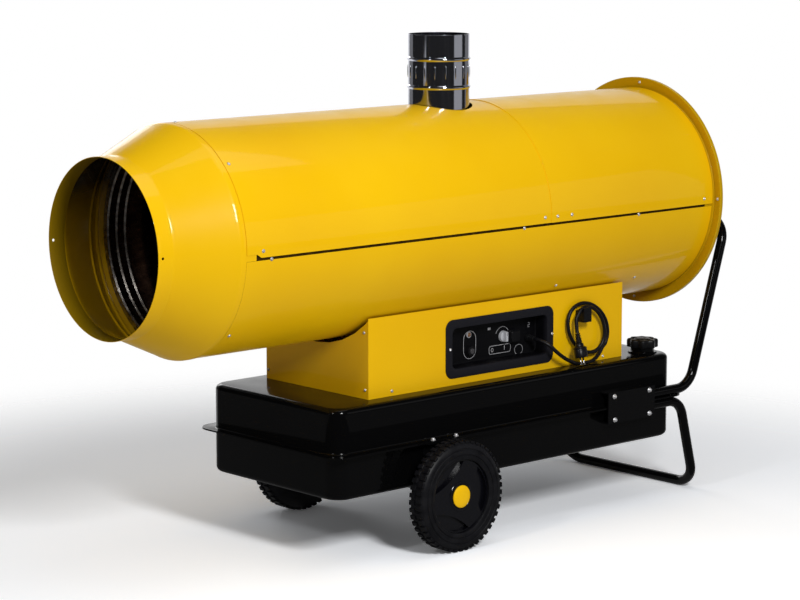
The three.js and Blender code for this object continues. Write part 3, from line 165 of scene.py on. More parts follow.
touch_gap = 0.0003
cord_radius = 0.00475
tank_top_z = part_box("tank_upper")[1].z
box_side_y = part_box("box_side_left")[0].y
gland_low, gland_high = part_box("cable_gland")
lead_corners = [
    (0.262, gland_low.y - touch_gap, 0.078), (0.262, -0.18, 0.078), (0.2642, -0.1943, 0.0759),
    (0.2704, -0.2073, 0.0699), (0.2798, -0.216, 0.061), (0.2908, -0.219, 0.0504), (0.309, -0.219, 0.0374),
    (0.33, -0.217, 0.0252), (0.351, -0.2134, 0.0162), (0.37, -0.21, 0.0092), (0.388, -0.2085, 0.0059),
    (0.405, -0.2075, 0.0051), (0.424, -0.206, 0.0052), (0.441, -0.203, 0.0072), (0.457, -0.1992, 0.0126),
    (0.472, -0.1958, 0.0215), (0.485, -0.1934, 0.0345),
]
coil_x = 0.4243
coil_z = tank_top_z + 0.089
coil_outer = (0.081, 0.068)
coil_inner = (0.049, 0.056)
coil_lean = math.radians(13.6)
coil_from = math.radians(-20)
coil_to = math.radians(505)
coil_pitch = 0.0101
coil_back_y = box_side_y - cord_radius - 3 * touch_gap
coil_steps = 96
coil = []
for i in range(coil_steps + 1):
    angle = coil_from + (coil_to - coil_from) * i / coil_steps
    share = (angle - coil_from) / (coil_to - coil_from)
    width, height = [outer + (inner - outer) * share for outer, inner in zip(coil_outer, coil_inner)]
    coil.append(Vector((
        coil_x + width * math.cos(angle),
        coil_back_y - coil_pitch * (angle - coil_from) / (2 * math.pi),
        coil_z + height * math.sin(angle - coil_lean),
    )))
coil_entry = coil[0] - (coil[1] - coil[0]).normalized() * 2 * cord_radius
coil_exit_way = (coil[-1] - coil[-2]).normalized()
plug_top = Vector((coil_x - 0.0509, box_side_y - 0.0267, tank_top_z + 0.0844))
plug_down = Vector((-0.0018, -0.021, -0.073)).normalized()
lead = smooth_route([*[Vector((x, y, tank_top_z + z)) for x, y, z in lead_corners], coil_entry], 5)
tail = smooth_route([
    coil[-1] + coil_exit_way * 2 * cord_radius, coil[-1] + coil_exit_way * 3 * cord_radius,
    plug_top - plug_down * cord_radius, plug_top,
], 5)
cord_route = [*lead, *coil, *tail]
cord_curve = bpy.data.curves.new("power_cord", "CURVE")
cord_curve.dimensions = "3D"
cord_curve.bevel_depth = cord_radius
cord_curve.bevel_resolution = 5
cord_curve.use_fill_caps = True
cord_line = cord_curve.splines.new("POLY")
cord_line.points.add(len(cord_route) - 1)
for point, place in zip(cord_line.points, cord_route):
    point.co = (*place, 1)
power_cord = bpy.data.objects.new("power_cord", cord_curve)
scene.collection.objects.link(power_cord)
cord_rubber = Finish("cord_rubber", "cord", (0.005, 0.005, 0.007), Roughness=0.36, Specular_IOR_Level=0.3)
cord_rubber.rubbed(0.34, 0.5, 90).raised(0.00006, 1500)
dressed(power_cord, cord_rubber, "cord_lead", "cord_coil", "cord_tail")


# Plug
# A moulded earthed plug: a ribbed bend relief, a ridged collar, a body flattened on two sides and two
# nickel plated pins. It hangs on the cord's end and leans out from the coil.
def skinned(name, rings, shut_round=True, shut_along=False, capped=False):
    """A skin over rings of points, with its doubles merged and its faces pointing out"""
    count = len(rings[0])
    faces = []
    for i in range(len(rings) if shut_along else len(rings) - 1):
        here = i * count
        there = (i + 1) % len(rings) * count
        for k in range(count if shut_round else count - 1):
            following = (k + 1) % count
            faces.append((here + k, here + following, there + following, there + k))
    if capped:
        faces.append(tuple(reversed(range(count))))
        faces.append(tuple(range((len(rings) - 1) * count, len(rings) * count)))
    mesh = bpy.data.meshes.new(name)
    mesh.from_pydata([point for ring in rings for point in ring], [], faces)
    skin = bmesh.new()
    skin.from_mesh(mesh)
    bmesh.ops.remove_doubles(skin, verts=skin.verts, dist=1e-6)
    bmesh.ops.recalc_face_normals(skin, faces=skin.faces)
    skin.to_mesh(mesh)
    skin.free()
    piece = bpy.data.objects.new(name, mesh)
    scene.collection.objects.link(piece)
    return piece


def turned(name, profile, axis, centre, segments=48):
    """A profile of (radius, place along the axis) turned about an axis through the centre. It is shut into a
    ring, unless it ends on the axis"""
    rings = []
    for i in range(segments):
        turn = math.radians(360 * i / segments)
        ring = []
        for radius, along in profile:
            u = centre[0] + radius * math.cos(turn)
            v = centre[1] + radius * math.sin(turn)
            ring.append({"x": (along, u, v), "y": (u, along, v), "z": (u, v, along)}[axis])
        rings.append(ring)
    return skinned(name, rings, shut_round=profile[-1][0] > 0, shut_along=True)


def softened(piece, width=0.0003, segments=2, angle=30):
    """Edges sharper than the angle get a small round, and flat faces stay flat"""
    bevel = piece.modifiers.new("edge", "BEVEL")
    bevel.width = width
    bevel.segments = segments
    bevel.limit_method = "ANGLE"
    bevel.angle_limit = math.radians(angle)
    bevel.harden_normals = True
    return piece


def placed(piece, matrix):
    """The piece's mesh is moved by the matrix, and its object stays at the origin"""
    piece.data.transform(matrix)
    return piece


plug_plastic = Finish("plug_plastic", "black_plastic", (0.005, 0.005, 0.007), Roughness=0.34, Specular_IOR_Level=0.25)
plug_plastic.raised(0.00005, 2200)
plug_frame = Matrix.Translation(plug_top) @ Vector((0, 0, -1)).rotation_difference(plug_down).to_matrix().to_4x4()
relief_length = 0.025
relief_ribs = 6
rib = relief_length / relief_ribs
relief_profile = [(0, -touch_gap)]
for i in range(relief_ribs):
    top = -touch_gap - relief_length * i / relief_ribs
    wide = cord_radius * (1.28 + 0.5 * i / relief_ribs)
    relief_profile += [(wide, top - 0.1 * rib), (wide + 0.0006, top - 0.45 * rib), (wide, top - 0.7 * rib)]
    relief_profile += [(wide - 0.0012, top - 0.78 * rib), (wide - 0.0012, top - 0.95 * rib)]
relief_profile.append((0, -relief_length))
plug_relief = turned("plug_bend_relief", relief_profile, "z", (0, 0), 32)
dressed(placed(plug_relief, plug_frame), plug_plastic, "plug_relief")
plug_low = -0.0613
plug_flat = 0.85
plug_body = turned("plug_moulding", [
    (0, -0.0253), (0.0105, -0.0255), (0.0118, -0.0275), (0.0125, -0.0335), (0.0175, -0.0352), (0.0196, -0.0365),
    (0.02, -0.038), (0.0196, -0.0392), (0.0186, -0.0398), (0.0186, -0.0415), (0.0193, -0.0428), (0.0193, -0.056),
    (0.0186, -0.0598), (0.0172, plug_low), (0, plug_low),
], "z", (0, 0))
plug_turn = plug_frame @ Matrix.Rotation(math.radians(23), 4, "Z")
placed(plug_body, plug_turn @ Matrix.Diagonal((1, plug_flat, 1, 1)))
dressed(softened(plug_body, 0.0005), plug_plastic, "plug_body")
pin_metal = Finish("pin_nickel", "bright_steel", (0.72, 0.7, 0.66), Metallic=1.0, Roughness=0.2)
pin_metal.rubbed(0.14, 0.3, 700)
pin_profile = [(0, -0.08), (0.0014, -0.08), (0.0024, -0.0786), (0.0024, plug_low + 0.001), (0, plug_low + 0.001)]
for label, pin_x in (("near", -0.0095), ("far", 0.0095)):
    pin = turned("plug_pin_" + label, pin_profile, "z", (pin_x, 0), 20)
    dressed(placed(pin, plug_turn), pin_metal)


# Outlet cone
# One spun and seamed sheet steel shell, 1.2 mm thick, in gloss yellow enamel: the duct collar, the slope out
# to the drum, and a joggled lip that the casing sheets are screwed to. The collar has a hole on each side.
def cut_by(piece, *cutters):
    """The cutters' shapes are taken out of the piece, and the cutters are deleted"""
    for cutter in cutters:
        cutting = piece.modifiers.new("cut", "BOOLEAN")
        cutting.object = cutter
        cutting.solver = "EXACT"
    made_plain(piece)
    for cutter in cutters:
        bpy.data.objects.remove(cutter)
    return piece


def made_plain(piece):
    """What the piece's modifiers make becomes its mesh"""
    depsgraph = bpy.context.evaluated_depsgraph_get()
    piece.data = bpy.data.meshes.new_from_object(piece.evaluated_get(depsgraph), depsgraph=depsgraph)
    piece.modifiers.clear()
    return piece


def near(radius, along, *steps):
    """Points of a profile, each some way out and some way along from one corner"""
    return [(radius + out, along + onward) for out, onward in steps]


def coated(piece, choice, *finishes):
    """Each face takes one of the finishes, by a choice from the face and the way out from the drum's axis to it"""
    for finish in finishes:
        piece.data.materials.append(finish.material)
    for face in piece.data.polygons:
        outward = Vector((0, face.center.y, face.center.z - axis_height))
        face.material_index = int(choice(face, outward))


gloss = {"Roughness": 0.34, "Coat_Weight": 0.35, "Coat_Roughness": 0.04}
yellow_enamel = Finish("yellow_enamel", "yellow_paint", (0.96, 0.56, 0.0045), **gloss, Specular_IOR_Level=0.1)
yellow_enamel.tinted((0.93, 0.525, 0.002), (0.98, 0.58, 0.003), 2.2, 3).rubbed(0.28, 0.42, 14, 4)
yellow_enamel.raised(0.00004, 420).raised(0.0004, 7, 1)
cone_low, cone_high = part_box("outlet_cone")
panel_low, panel_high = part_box("upper_front_panel")
axis_height = (cone_low.z + cone_high.z) / 2
on_axis = (0, axis_height)
drum_radius = (cone_high.z - cone_low.z) / 2
drum_front_x = panel_low.x
sheet = 0.0012
collar_radius = 0.205
collar_rear_x = cone_low.x + 0.0425
slope_rear_x = collar_rear_x + 0.133
skirt_rear_x = drum_front_x - 0.002
lip_radius = drum_radius - sheet - touch_gap
bead_height = 0.0035
slope = (drum_radius - collar_radius) / (slope_rear_x - collar_rear_x)
inner_wall = [
    (drum_radius - 0.0018 + slope * min(0, skirt_rear_x - back - slope_rear_x) - height, skirt_rear_x - back)
    for back, height in (
        (0.0095, 0), (0.0125, bead_height), (0.0165, bead_height), (0.0205, 0),
        (0.035, 0), (0.039, bead_height), (0.043, bead_height), (0.047, 0),
    )
]
cone = turned("outlet_cone_shell", [
    *near(collar_radius, cone_low.x, (-sheet, 0), (0, 0)),
    *near(collar_radius, collar_rear_x, (0, -0.003), (0.0007, 0), (0.003, 0.004)),
    *near(drum_radius, slope_rear_x, (-0.003, -0.004), (-0.0007, 0), (0, 0.003)),
    (drum_radius, skirt_rear_x), (lip_radius, skirt_rear_x), *near(lip_radius, cone_high.x, (0, 0), (-sheet, 0)),
    (lip_radius - sheet, skirt_rear_x - 0.008), *inner_wall,
    *near(collar_radius, collar_rear_x, (0.001, 0.0045), (-sheet, 0)),
], "x", on_axis, 160)
hole_radius = 0.0032
hole_x = cone_low.x + 0.012
cut_by(cone, turned("collar_drill", [
    (0, -0.3), (hole_radius, -0.3), (hole_radius, 0.3), (0, 0.3),
], "y", (hole_x, axis_height), 16))
# Painted shade inside the slope: the colour runs from the enamel's yellow low down to near black at the top.
slope_painted_shade = Finish(
    "cone_slope_painted_shade", "yellow_paint", (0.3, 0.16, 0.004), Roughness=0.24, Coat_Weight=0.5, Coat_Roughness=0.12,
)
slope_painted_shade.tinted(
    (0.012, 0.006, 0.002), (0.95, 0.54, 0.003), slope_painted_shade.along("Z", axis_height + 0.2, axis_height - 0.04),
    start=0.3, end=0.95,
)
# Painted shade inside the collar: the enamel is darkened to olive all over.
collar_painted_shade = Finish("collar_painted_shade", "yellow_paint", (0.3, 0.18, 0.002), **gloss)
collar_painted_shade.tinted((0.27, 0.165, 0.002), (0.33, 0.195, 0.002), 2.2, 3)


def cone_coat(face, outward):
    """0 on the outside, 1 inside the collar, 2 inside the slope, both insides with painted shade"""
    if face.normal.dot(outward.normalized()) >= -0.5:
        return 0
    return 1 if face.center.x < collar_rear_x + 0.002 else 2


coated(cone, cone_coat, yellow_enamel, collar_painted_shade, slope_painted_shade)
dressed(softened(cone), yellow_enamel, "outlet_cone")


# Drum casing
# Three rolled sheets in the same enamel. The lower one lies on the box's cradles, and the two upper ones overlap
# its edges and are held by small self tapping screws. Under their long edges the lower sheet is tucked in, and its
# tucked strip carries a painted shadow.
def arc_sheet(name, outer, inner, stations, tuck=0.0, tuck_deg=0.0):
    """A bent sheet: at each station (x, first angle, last angle) its edge runs round the drum's axis. Its two
    long edges may be tucked in by a depth over some degrees"""
    steps = round(160 * (stations[0][2] - stations[0][1]) / 360)
    rings = []
    for x, first, last in stations:
        sunk = [first, first + 0.8 * tuck_deg] if tuck else []
        flat_first = first + tuck_deg
        flat_last = last - tuck_deg
        flat = [flat_first + (flat_last - flat_first) * i / steps for i in range(steps + 1)]
        line = [(t, tuck) for t in sunk] + [(t, 0.0) for t in flat] + [(first + last - t, tuck) for t in reversed(sunk)]
        rings.append([
            (x, (wall - drop) * math.cos(math.radians(t)), axis_height + (wall - drop) * math.sin(math.radians(t)))
            for wall, points in ((outer, line), (inner, line[::-1])) for t, drop in points
        ])
    return skinned(name, rings, capped=True)


def flue_drill():
    """A cutter for the hole that the flue passes through"""
    return turned("flue_drill", [
        (0, axis_height), (flue_hole_radius, axis_height), (flue_hole_radius, flue_high.z), (0, flue_high.z),
    ], "z", (flue_x, 0), 64)


joint_deg = 2.6
lower_deg = joint_deg - 1.4
tab_deg = 0.9
tab_start_x = drum_front_x + 0.0285
tab_end_x = drum_front_x + 0.0405
rear_panel_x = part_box("upper_rear_panel")[0].x
drum_rear_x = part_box("upper_rear_panel")[1].x
lower_outer = drum_radius - 0.0011
rear_inner = drum_radius + touch_gap
seam_depth = 0.0035
flue_low, flue_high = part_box("flue_stack")
flue_x = (flue_low.x + flue_high.x) / 2
flue_hole_radius = 0.082
lower_casing = arc_sheet("lower_casing_sheet", lower_outer, lower_outer - sheet, [
    (x, 180 + lower_deg, 360 - lower_deg) for x in (drum_front_x, drum_rear_x)
], tuck=seam_depth, tuck_deg=2.8)
# Painted shadow: the tucked strip of the lower sheet is coloured dark brown, as if shaded by the upper sheets' proud
# edges.
seam_painted_shadow = Finish("seam_painted_shadow", "yellow_paint", (0.03, 0.014, 0.001), Roughness=0.6, Specular_IOR_Level=0.1)
seam_painted_shadow.tinted((0.02, 0.009, 0.001), (0.05, 0.024, 0.001), 60, 3)
coated(
    lower_casing,
    lambda face, outward: face.normal.dot(outward) > 0 and outward.length < lower_outer - 0.4 * seam_depth,
    yellow_enamel, seam_painted_shadow,
)
dressed(softened(lower_casing), yellow_enamel, "lower_casing")
front_panel = arc_sheet("upper_front_sheet", drum_radius, lower_outer + 0.0001, [
    (x, -edge, 180 + edge) for x, edge in (
        (drum_front_x, tab_deg), (tab_start_x, tab_deg), (tab_end_x, joint_deg), (panel_high.x, joint_deg),
    )
])
dressed(softened(cut_by(front_panel, flue_drill())), yellow_enamel, "upper_front_panel")
rear_panel = arc_sheet("upper_rear_sheet", rear_inner + sheet, rear_inner, [
    (x, -joint_deg, 180 + joint_deg) for x in (rear_panel_x, drum_rear_x)
])
dressed(softened(rear_panel), yellow_enamel, "upper_rear_panel")


# Casing screws
# Zinc plated self tapping screws with a flange and a cross recess, along the edges of the casing sheets,
# on the box and round the control panel.
class Recipe:
    """A Geometry Nodes tree with named inputs for its sizes"""

    def __init__(self, name, **sizes):
        self.tree = bpy.data.node_groups.new(name, "GeometryNodeTree")
        sockets = self.tree.interface
        sockets.new_socket("Geometry", in_out="OUTPUT", socket_type="NodeSocketGeometry")
        sockets.new_socket("Base", in_out="INPUT", socket_type="NodeSocketGeometry")
        for label, value in sizes.items():
            kind = "NodeSocketInt" if isinstance(value, int) else "NodeSocketFloat"
            sockets.new_socket(label, in_out="INPUT", socket_type=kind).default_value = value
        self.entry = self.tree.nodes.new("NodeGroupInput")
        self.exit = self.tree.nodes.new("NodeGroupOutput")

    def __getitem__(self, label):
        return self.entry.outputs[label]

    def step(self, kind, inputs=None, out=0, **settings):
        """One output of a node; a kind is a geometry node's unless it says otherwise"""
        prefix = "" if kind.startswith(("Shader", "Function")) else "GeometryNode"
        return wired(self.tree, prefix + kind, inputs, out, **settings)

    def plus(self, a, b, operation="ADD"):
        return self.step("ShaderNodeMath", {0: a, 1: b}, operation=operation)

    def minus(self, a, b):
        return self.plus(a, b, "SUBTRACT")

    def times(self, a, b):
        return self.plus(a, b, "MULTIPLY")

    def over(self, a, b):
        return self.plus(a, b, "DIVIDE")

    def vector(self, x=0.0, y=0.0, z=0.0):
        return self.step("ShaderNodeCombineXYZ", {0: x, 1: y, 2: z})

    def turn(self, *angles, **angle):
        return self.step("FunctionNodeEulerToRotation", {"Euler": self.vector(*angles, **angle)})

    def facing(self, way, axis):
        return self.step("FunctionNodeAlignRotationToVector", {"Vector": way}, axis=axis)

    def seat_turn(self):
        """The turn that stands a fastener on its seat"""
        way = self.step("InputNamedAttribute", {"Name": "facing"}, data_type="FLOAT_VECTOR")
        return self.facing(way, "Z")

    def moved(self, geometry, x=0.0, y=0.0, z=0.0, **turn_or_scale):
        return self.step("Transform", {"Geometry": geometry, "Translation": self.vector(x, y, z), **turn_or_scale})

    def copies(self, points, geometry, **turn_or_scale):
        return self.step("InstanceOnPoints", {"Points": points, "Instance": geometry, **turn_or_scale})

    def round_circle(self, count, radius, geometry):
        """Copies on a circle about Z, each with its Y axis pointing out"""
        circle = self.step("MeshCircle", {"Vertices": count, "Radius": radius})
        return self.copies(circle, geometry, Rotation=self.facing(self.step("InputPosition"), "Y"))

    def join(self, *geometries):
        return self.step("JoinGeometry", {"Geometry": list(geometries)})

    def end(self, geometry, finish):
        """The tree's copies are made real and take the finish"""
        real = self.step("RealizeInstances", {"Geometry": geometry})
        shown = self.step("SetMaterial", {"Geometry": real, "Material": finish.material})
        self.tree.links.new(shown, self.exit.inputs[0])


def grown(name, recipe, base=None, **sizes):
    """A plain mesh made by the recipe, on the base mesh where it needs one"""
    piece = bpy.data.objects.new(name, base or bpy.data.meshes.new(name))
    scene.collection.objects.link(piece)
    growth = piece.modifiers.new("growth", "NODES")
    growth.node_group = recipe.tree
    for item in recipe.tree.interface.items_tree:
        if item.in_out == "INPUT" and item.name in sizes:
            growth[item.identifier] = sizes[item.name]
    return made_plain(piece)


def seated(name, recipe, finish, places, **sizes):
    """Fasteners on a list of places, each with the way that the fastener faces"""
    mesh = bpy.data.meshes.new(name)
    mesh.from_pydata([place for place, _ in places], [], [])
    facing = mesh.attributes.new("facing", "FLOAT_VECTOR", "POINT")
    for seat, (_, way) in zip(facing.data, places):
        seat.vector = way
    dressed(grown(name, recipe, mesh, **sizes), finish)


screw_zinc = Finish("screw_zinc", "bright_steel", (0.8, 0.8, 0.82), Metallic=0.6, Roughness=0.28)
screw_zinc.rubbed(0.2, 0.4, 900)
screw = Recipe("flange_screw", Head=0.0042)
head = screw["Head"]
flange_height = screw.times(head, 0.22)
flange = screw.step("MeshCylinder", {"Vertices": 16, "Radius": head, "Depth": flange_height})
flange = screw.moved(flange, z=screw.times(flange_height, 0.5))
dome_radius = screw.times(head, 0.74)
dome = screw.step("MeshUVSphere", {"Segments": 16, "Rings": 8, "Radius": dome_radius})
dome = screw.moved(dome, z=flange_height, Scale=(1, 1, 0.7))
arms = []
for long, wide in ((0.95, 0.2), (0.2, 0.95)):
    arm_size = screw.vector(screw.times(head, long), screw.times(head, wide), screw.times(head, 0.5))
    arms.append(screw.moved(screw.step("MeshCube", {"Size": arm_size}), z=dome_radius))
dome = screw.step("MeshBoolean", {"Mesh 1": dome, "Mesh 2": arms}, operation="DIFFERENCE")
driven_turn = screw.step("FunctionNodeRotateRotation", {
    "Rotation": screw.seat_turn(),
    "Rotate By": screw.turn(z=screw.step("FunctionNodeRandomValue", {"Max": math.pi, "Seed": 4}, 1, data_type="FLOAT")),
}, rotation_space="LOCAL")
screw.end(screw.copies(screw["Base"], screw.join(flange, dome), Rotation=driven_turn), screw_zinc)


def on_drum(x, degrees, radius=drum_radius):
    """A place on the drum's skin and the way out from it; 0 degrees faces the panel side, 90 faces up"""
    turn = math.radians(degrees)
    way = Vector((0, -math.cos(turn), math.sin(turn)))
    return Vector((x, 0, axis_height)) + way * radius, way


seam_screw_x = -0.704
casing_screws = []
for mirror in (lambda a: a, lambda a: 180 - a):
    casing_screws += [on_drum(x, mirror(0.5)) for x in (-0.672, 0.2015)]
    casing_screws += [on_drum(x, mirror(0.5), rear_inner + sheet) for x in (0.2426, 0.2917, 0.775)]
    casing_screws += [on_drum(x, mirror(-3.8), lower_outer) for x in (-0.6476, 0.1324, 0.5335)]
    casing_screws += [on_drum(seam_screw_x, mirror(45)), on_drum(seam_screw_x, mirror(-46), lower_outer)]
    casing_screws += [on_drum(0.6085, mirror(-46), lower_outer), on_drum(0.314, mirror(-43), lower_outer)]
casing_screws.append(on_drum(seam_screw_x, 90))
seated("casing_screws", screw, screw_zinc, casing_screws)


# Inside the outlet
# A bare steel liner with rolled rings keeps the casing cool. The heat exchanger's annular box and the dome
# of the combustion chamber sit in it, oxidised and heat tinted.
liner_steel = Finish("liner_steel", "dark_steel", (0.25, 0.23, 0.21), Metallic=1.0, Roughness=0.24)
liner_steel.tinted((0.14, 0.125, 0.115), (0.42, 0.39, 0.35), 30, 6, (1, 3, 3))
liner_steel.rubbed(0.18, 0.32, 60, 4).raised(0.00004, 500)
liner_low, liner_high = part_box("inner_liner")
liner_bore = 0.2505
liner_sheet = 0.0015
ring_depth = 0.004
ring_half = 0.0045
liner_profile = near(liner_bore, liner_low.x, (0.0135, 0), (0, 0))
for ring_x in (liner_low.x + 0.0045, liner_low.x + 0.029, liner_low.x + 0.053):
    liner_profile += near(
        liner_bore, ring_x, (0, -ring_half), (-ring_depth, -0.3 * ring_half), (-ring_depth, 0.3 * ring_half),
        (0, ring_half),
    )
liner_profile += near(
    liner_bore, liner_high.x, (0, 0), (0.0155, 0), (0.0155, -liner_sheet), (liner_sheet, -liner_sheet),
)
liner_profile += near(liner_bore, liner_low.x, (liner_sheet, liner_sheet), (0.0135, liner_sheet))
liner = cut_by(turned("inner_liner_tube", liner_profile, "x", on_axis, 128), flue_drill())
dressed(softened(liner, 0.0004), liner_steel, "inner_liner")
scaled_steel = Finish("heat_tinted_steel", "dark_steel", (0.05, 0.028, 0.02), Metallic=0.85, Roughness=0.5)
scaled_steel.tinted((0.03, 0.016, 0.014), (0.12, 0.06, 0.035), 9, 8)
scaled_steel.rubbed(0.38, 0.65, 40, 4).raised(0.00012, 260, 3)
exchanger_low, exchanger_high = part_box("heat_exchanger")
exchanger_radius = exchanger_high.y
exchanger_bore = 0.182
exchanger = turned("heat_exchanger_box", [
    *near(exchanger_bore, exchanger_low.x, (0, 0.006), (0.003, 0.001), (0.006, 0)),
    *near(exchanger_radius, exchanger_low.x, (-0.006, 0), (-0.001, 0.002), (0, 0.006)),
    (exchanger_radius, exchanger_high.x), (exchanger_bore, exchanger_high.x),
], "x", on_axis, 96)
dressed(softened(exchanger, 0.0006), scaled_steel, "heat_exchanger")
chamber_low, chamber_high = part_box("combustion_chamber")
chamber_radius = 0.15
dome_length = 0.07
dome_turns = [math.pi / 2 * i / 16 for i in range(17)]
chamber = turned("combustion_chamber_shell", [
    *[(chamber_radius * math.sin(turn), chamber_low.x + dome_length * (1 - math.cos(turn))) for turn in dome_turns],
    (chamber_radius, chamber_high.x), (0, chamber_high.x),
], "x", on_axis, 96)
dressed(softened(chamber, 0.001), scaled_steel, "combustion_chamber")


# Flue stack
# A stainless pipe, folded and rolled: two beads round it, a ring of short embossed ribs between them and a
# plain rim. It slips over the spigot of the exchanger.
flue_steel = Finish("flue_stainless", "stainless", (0.55, 0.56, 0.63), Metallic=1.0, Roughness=0.08)
flue_steel.rubbed(0.05, 0.12, 180, 3, (1, 1, 0.03)).raised(0.00003, 260, 2, (1, 1, 0.04))
flue_radius = 0.075
flue_segments = 96
bead_half = 0.005
bead_rise = 0.0025
bead_shape = ((-1, 0), (-0.75, 0.3), (-0.35, 0.85), (0, 1), (0.35, 0.85), (0.75, 0.3), (1, 0))
bore = flue_radius - sheet
outer_beads, bore_beads = [
    [
        (wall + rise * bead_rise, flue_high.z - down + along * bead_half)
        for down in (0.127, 0.059) for along, rise in bead_shape
    ]
    for wall in (flue_radius, bore)
]
stack = turned("flue_stack_pipe", [
    (bore, flue_low.z), (flue_radius, flue_low.z), *outer_beads,
    (flue_radius, flue_high.z), (bore, flue_high.z), *reversed(bore_beads),
], "z", (flue_x, 0), flue_segments)
dressed(softened(stack), flue_steel, "flue_stack")
ribs = Recipe("flue_ribs", Count=18, Reach=flue_radius, Height=0.033, Width=0.004, Middle=1.1075)
rib_size = ribs.vector(ribs.times(ribs["Width"], 0.5), ribs.times(ribs["Width"], 0.35), ribs.times(ribs["Height"], 0.5))
rib = ribs.moved(ribs.step("MeshUVSphere", {"Segments": 8, "Rings": 6, "Radius": 1.0}), Scale=rib_size)
ribs.end(ribs.moved(ribs.round_circle(ribs["Count"], ribs["Reach"], rib), flue_x, 0.0, ribs["Middle"]), flue_steel)
dressed(grown("flue_ribs", ribs), flue_steel)
spigot_low, spigot_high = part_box("flue_spigot")
spigot_radius = bore - touch_gap
spigot = turned("flue_spigot_pipe", [
    (spigot_radius - sheet, spigot_low.z), (spigot_radius, spigot_low.z),
    (spigot_radius, spigot_high.z), (spigot_radius - sheet, spigot_high.z),
], "z", (flue_x, 0), flue_segments)
dressed(softened(spigot), scaled_steel, "flue_spigot")


# Rear ring and fan guard
# The ring is a spun sheet that closes the drum's rear: a neck inside the casing, a dished face and a turned
# rim. The guard is welded round wire, black, seated in the ring's crease.
ring_low, ring_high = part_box("rear_ring")
ring_radius = (ring_high.z - ring_low.z) / 2
crease_x = drum_rear_x + 0.009
ring = turned("rear_ring_spinning", [
    (lip_radius, ring_low.x), *near(lip_radius, crease_x, (0, -0.001), (0.001, 0)),
    *near(ring_radius, ring_high.x, (-0.002, -0.0102), (0, -0.009), (0, -0.001)),
    *near(ring_radius, ring_high.x, (-0.001, 0), (-0.003, -0.001), (-0.003, -0.0078)),
    *near(lip_radius, crease_x, (0.001, sheet), (-sheet, sheet)), (lip_radius - sheet, ring_low.x),
], "x", on_axis, 160)
# Painted shade: the ring takes the drum's yellow enamel darkened to olive.
ring_painted_shade = Finish("ring_painted_shade", "yellow_paint", (0.6, 0.355, 0.003), **gloss, Specular_IOR_Level=0.1)
ring_painted_shade.tinted((0.57, 0.335, 0.002), (0.62, 0.37, 0.003), 2.2, 3).raised(0.00004, 420)
dressed(softened(ring), ring_painted_shade, "rear_ring")
ring_screw_x = ring_low.x + 0.0285
ring_screw_reach = 0.283
seated("ring_screws", screw, screw_zinc, [
    (Vector((ring_screw_x, -ring_screw_reach * math.cos(turn), axis_height + ring_screw_reach * math.sin(turn))),
     Vector((-1, 0, 0)))
    for turn in map(math.radians, (88.4, -0.1, 180.1, 270))
])
wire_black = Finish(
    "guard_enamel", "black_paint", (0.003, 0.003, 0.0034), Roughness=0.25, Specular_IOR_Level=0.1, Coat_Weight=0.2,
    Coat_Roughness=0.06,
)
wire_black.raised(0.00003, 900)
guard_low, guard_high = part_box("fan_guard")
guard = Recipe(
    "fan_guard_wires", Rings=9, Spokes=8, Hub=0.034, Reach=guard_high.y, Wire=0.002,
    Plane=(guard_low.x + guard_high.x) / 2,
)
ring_seats = guard.step("MeshLine", {"Count": guard["Rings"], "Offset": (0, 0, 0)}, mode="OFFSET")
ring_step = guard.over(
    guard.minus(guard.minus(guard["Reach"], guard["Wire"]), guard["Hub"]), guard.minus(guard["Rings"], 1.0),
)
ring_reach = guard.plus(guard["Hub"], guard.times(ring_step, guard.step("InputIndex")))
unit_circle = guard.step("CurvePrimitiveCircle", {"Resolution": 72, "Radius": 1.0}, mode="RADIUS")
guard_rings = guard.copies(ring_seats, unit_circle, Scale=guard.vector(ring_reach, ring_reach, 1.0))
spoke = guard.step("CurvePrimitiveLine", {
    "Start": guard.vector(guard.times(guard["Hub"], 0.4)), "End": guard.vector(guard["Reach"]),
}, mode="POINTS")
spoke_seats = guard.step("SetPosition", {
    "Geometry": guard.step("MeshLine", {"Count": guard["Spokes"]}, mode="OFFSET"),
    "Position": guard.vector(z=guard.times(guard["Wire"], 1.6)),
})
spoke_angle = guard.times(guard.plus(guard.step("InputIndex"), 0.5), guard.over(2 * math.pi, guard["Spokes"]))
spokes = guard.copies(spoke_seats, spoke, Rotation=guard.turn(z=spoke_angle))
wires = guard.step("CurveToMesh", {
    "Curve": guard.join(*[guard.step("RealizeInstances", {"Geometry": lines}) for lines in (guard_rings, spokes)]),
    "Profile Curve": guard.step("CurvePrimitiveCircle", {"Resolution": 8, "Radius": guard["Wire"]}, mode="RADIUS"),
    "Fill Caps": True,
})
hub_plate = guard.step("MeshCylinder", {"Vertices": 48, "Radius": guard["Hub"], "Depth": guard["Wire"]})
z_to_x = (0, math.radians(90), 0)
guard.end(guard.moved(guard.join(wires, hub_plate), guard["Plane"], 0.0, axis_height, Rotation=z_to_x), wire_black)
dressed(grown("fan_guard_wires", guard), wire_black, "fan_guard")


# Fan
# An axial fan on the motor's shaft behind the burner: a cast hub with six twisted aluminium blades, in front
# of a black finned motor on a flat cross bar in the neck of the rear ring.
fan_x = 0.6197
cast_aluminium = Finish("cast_aluminium", "bright_steel", (0.42, 0.42, 0.43), Metallic=1.0, Roughness=0.42)
cast_aluminium.rubbed(0.34, 0.52, 60, 4).raised(0.00005, 900, 3)
fan = Recipe(
    "fan_blades", Blades=6, Root=0.034, Tip=0.246, Root_Width=0.075, Tip_Width=0.15, Thickness=0.0028,
    Root_Pitch=42.0, Tip_Pitch=24.0, Camber=0.012,
)
across, outward = [fan.step("ShaderNodeSeparateXYZ", {0: fan.step("InputPosition")}, out) for out in (0, 1)]
outward = fan.plus(outward, 0.5)


def along_blade(root, tip, share):
    """A size of the blade that runs from its root's to its tip's as the share runs from 0 to 1"""
    return fan.step("ShaderNodeMapRange", {"Value": share, "To Min": fan[root], "To Max": fan[tip]})


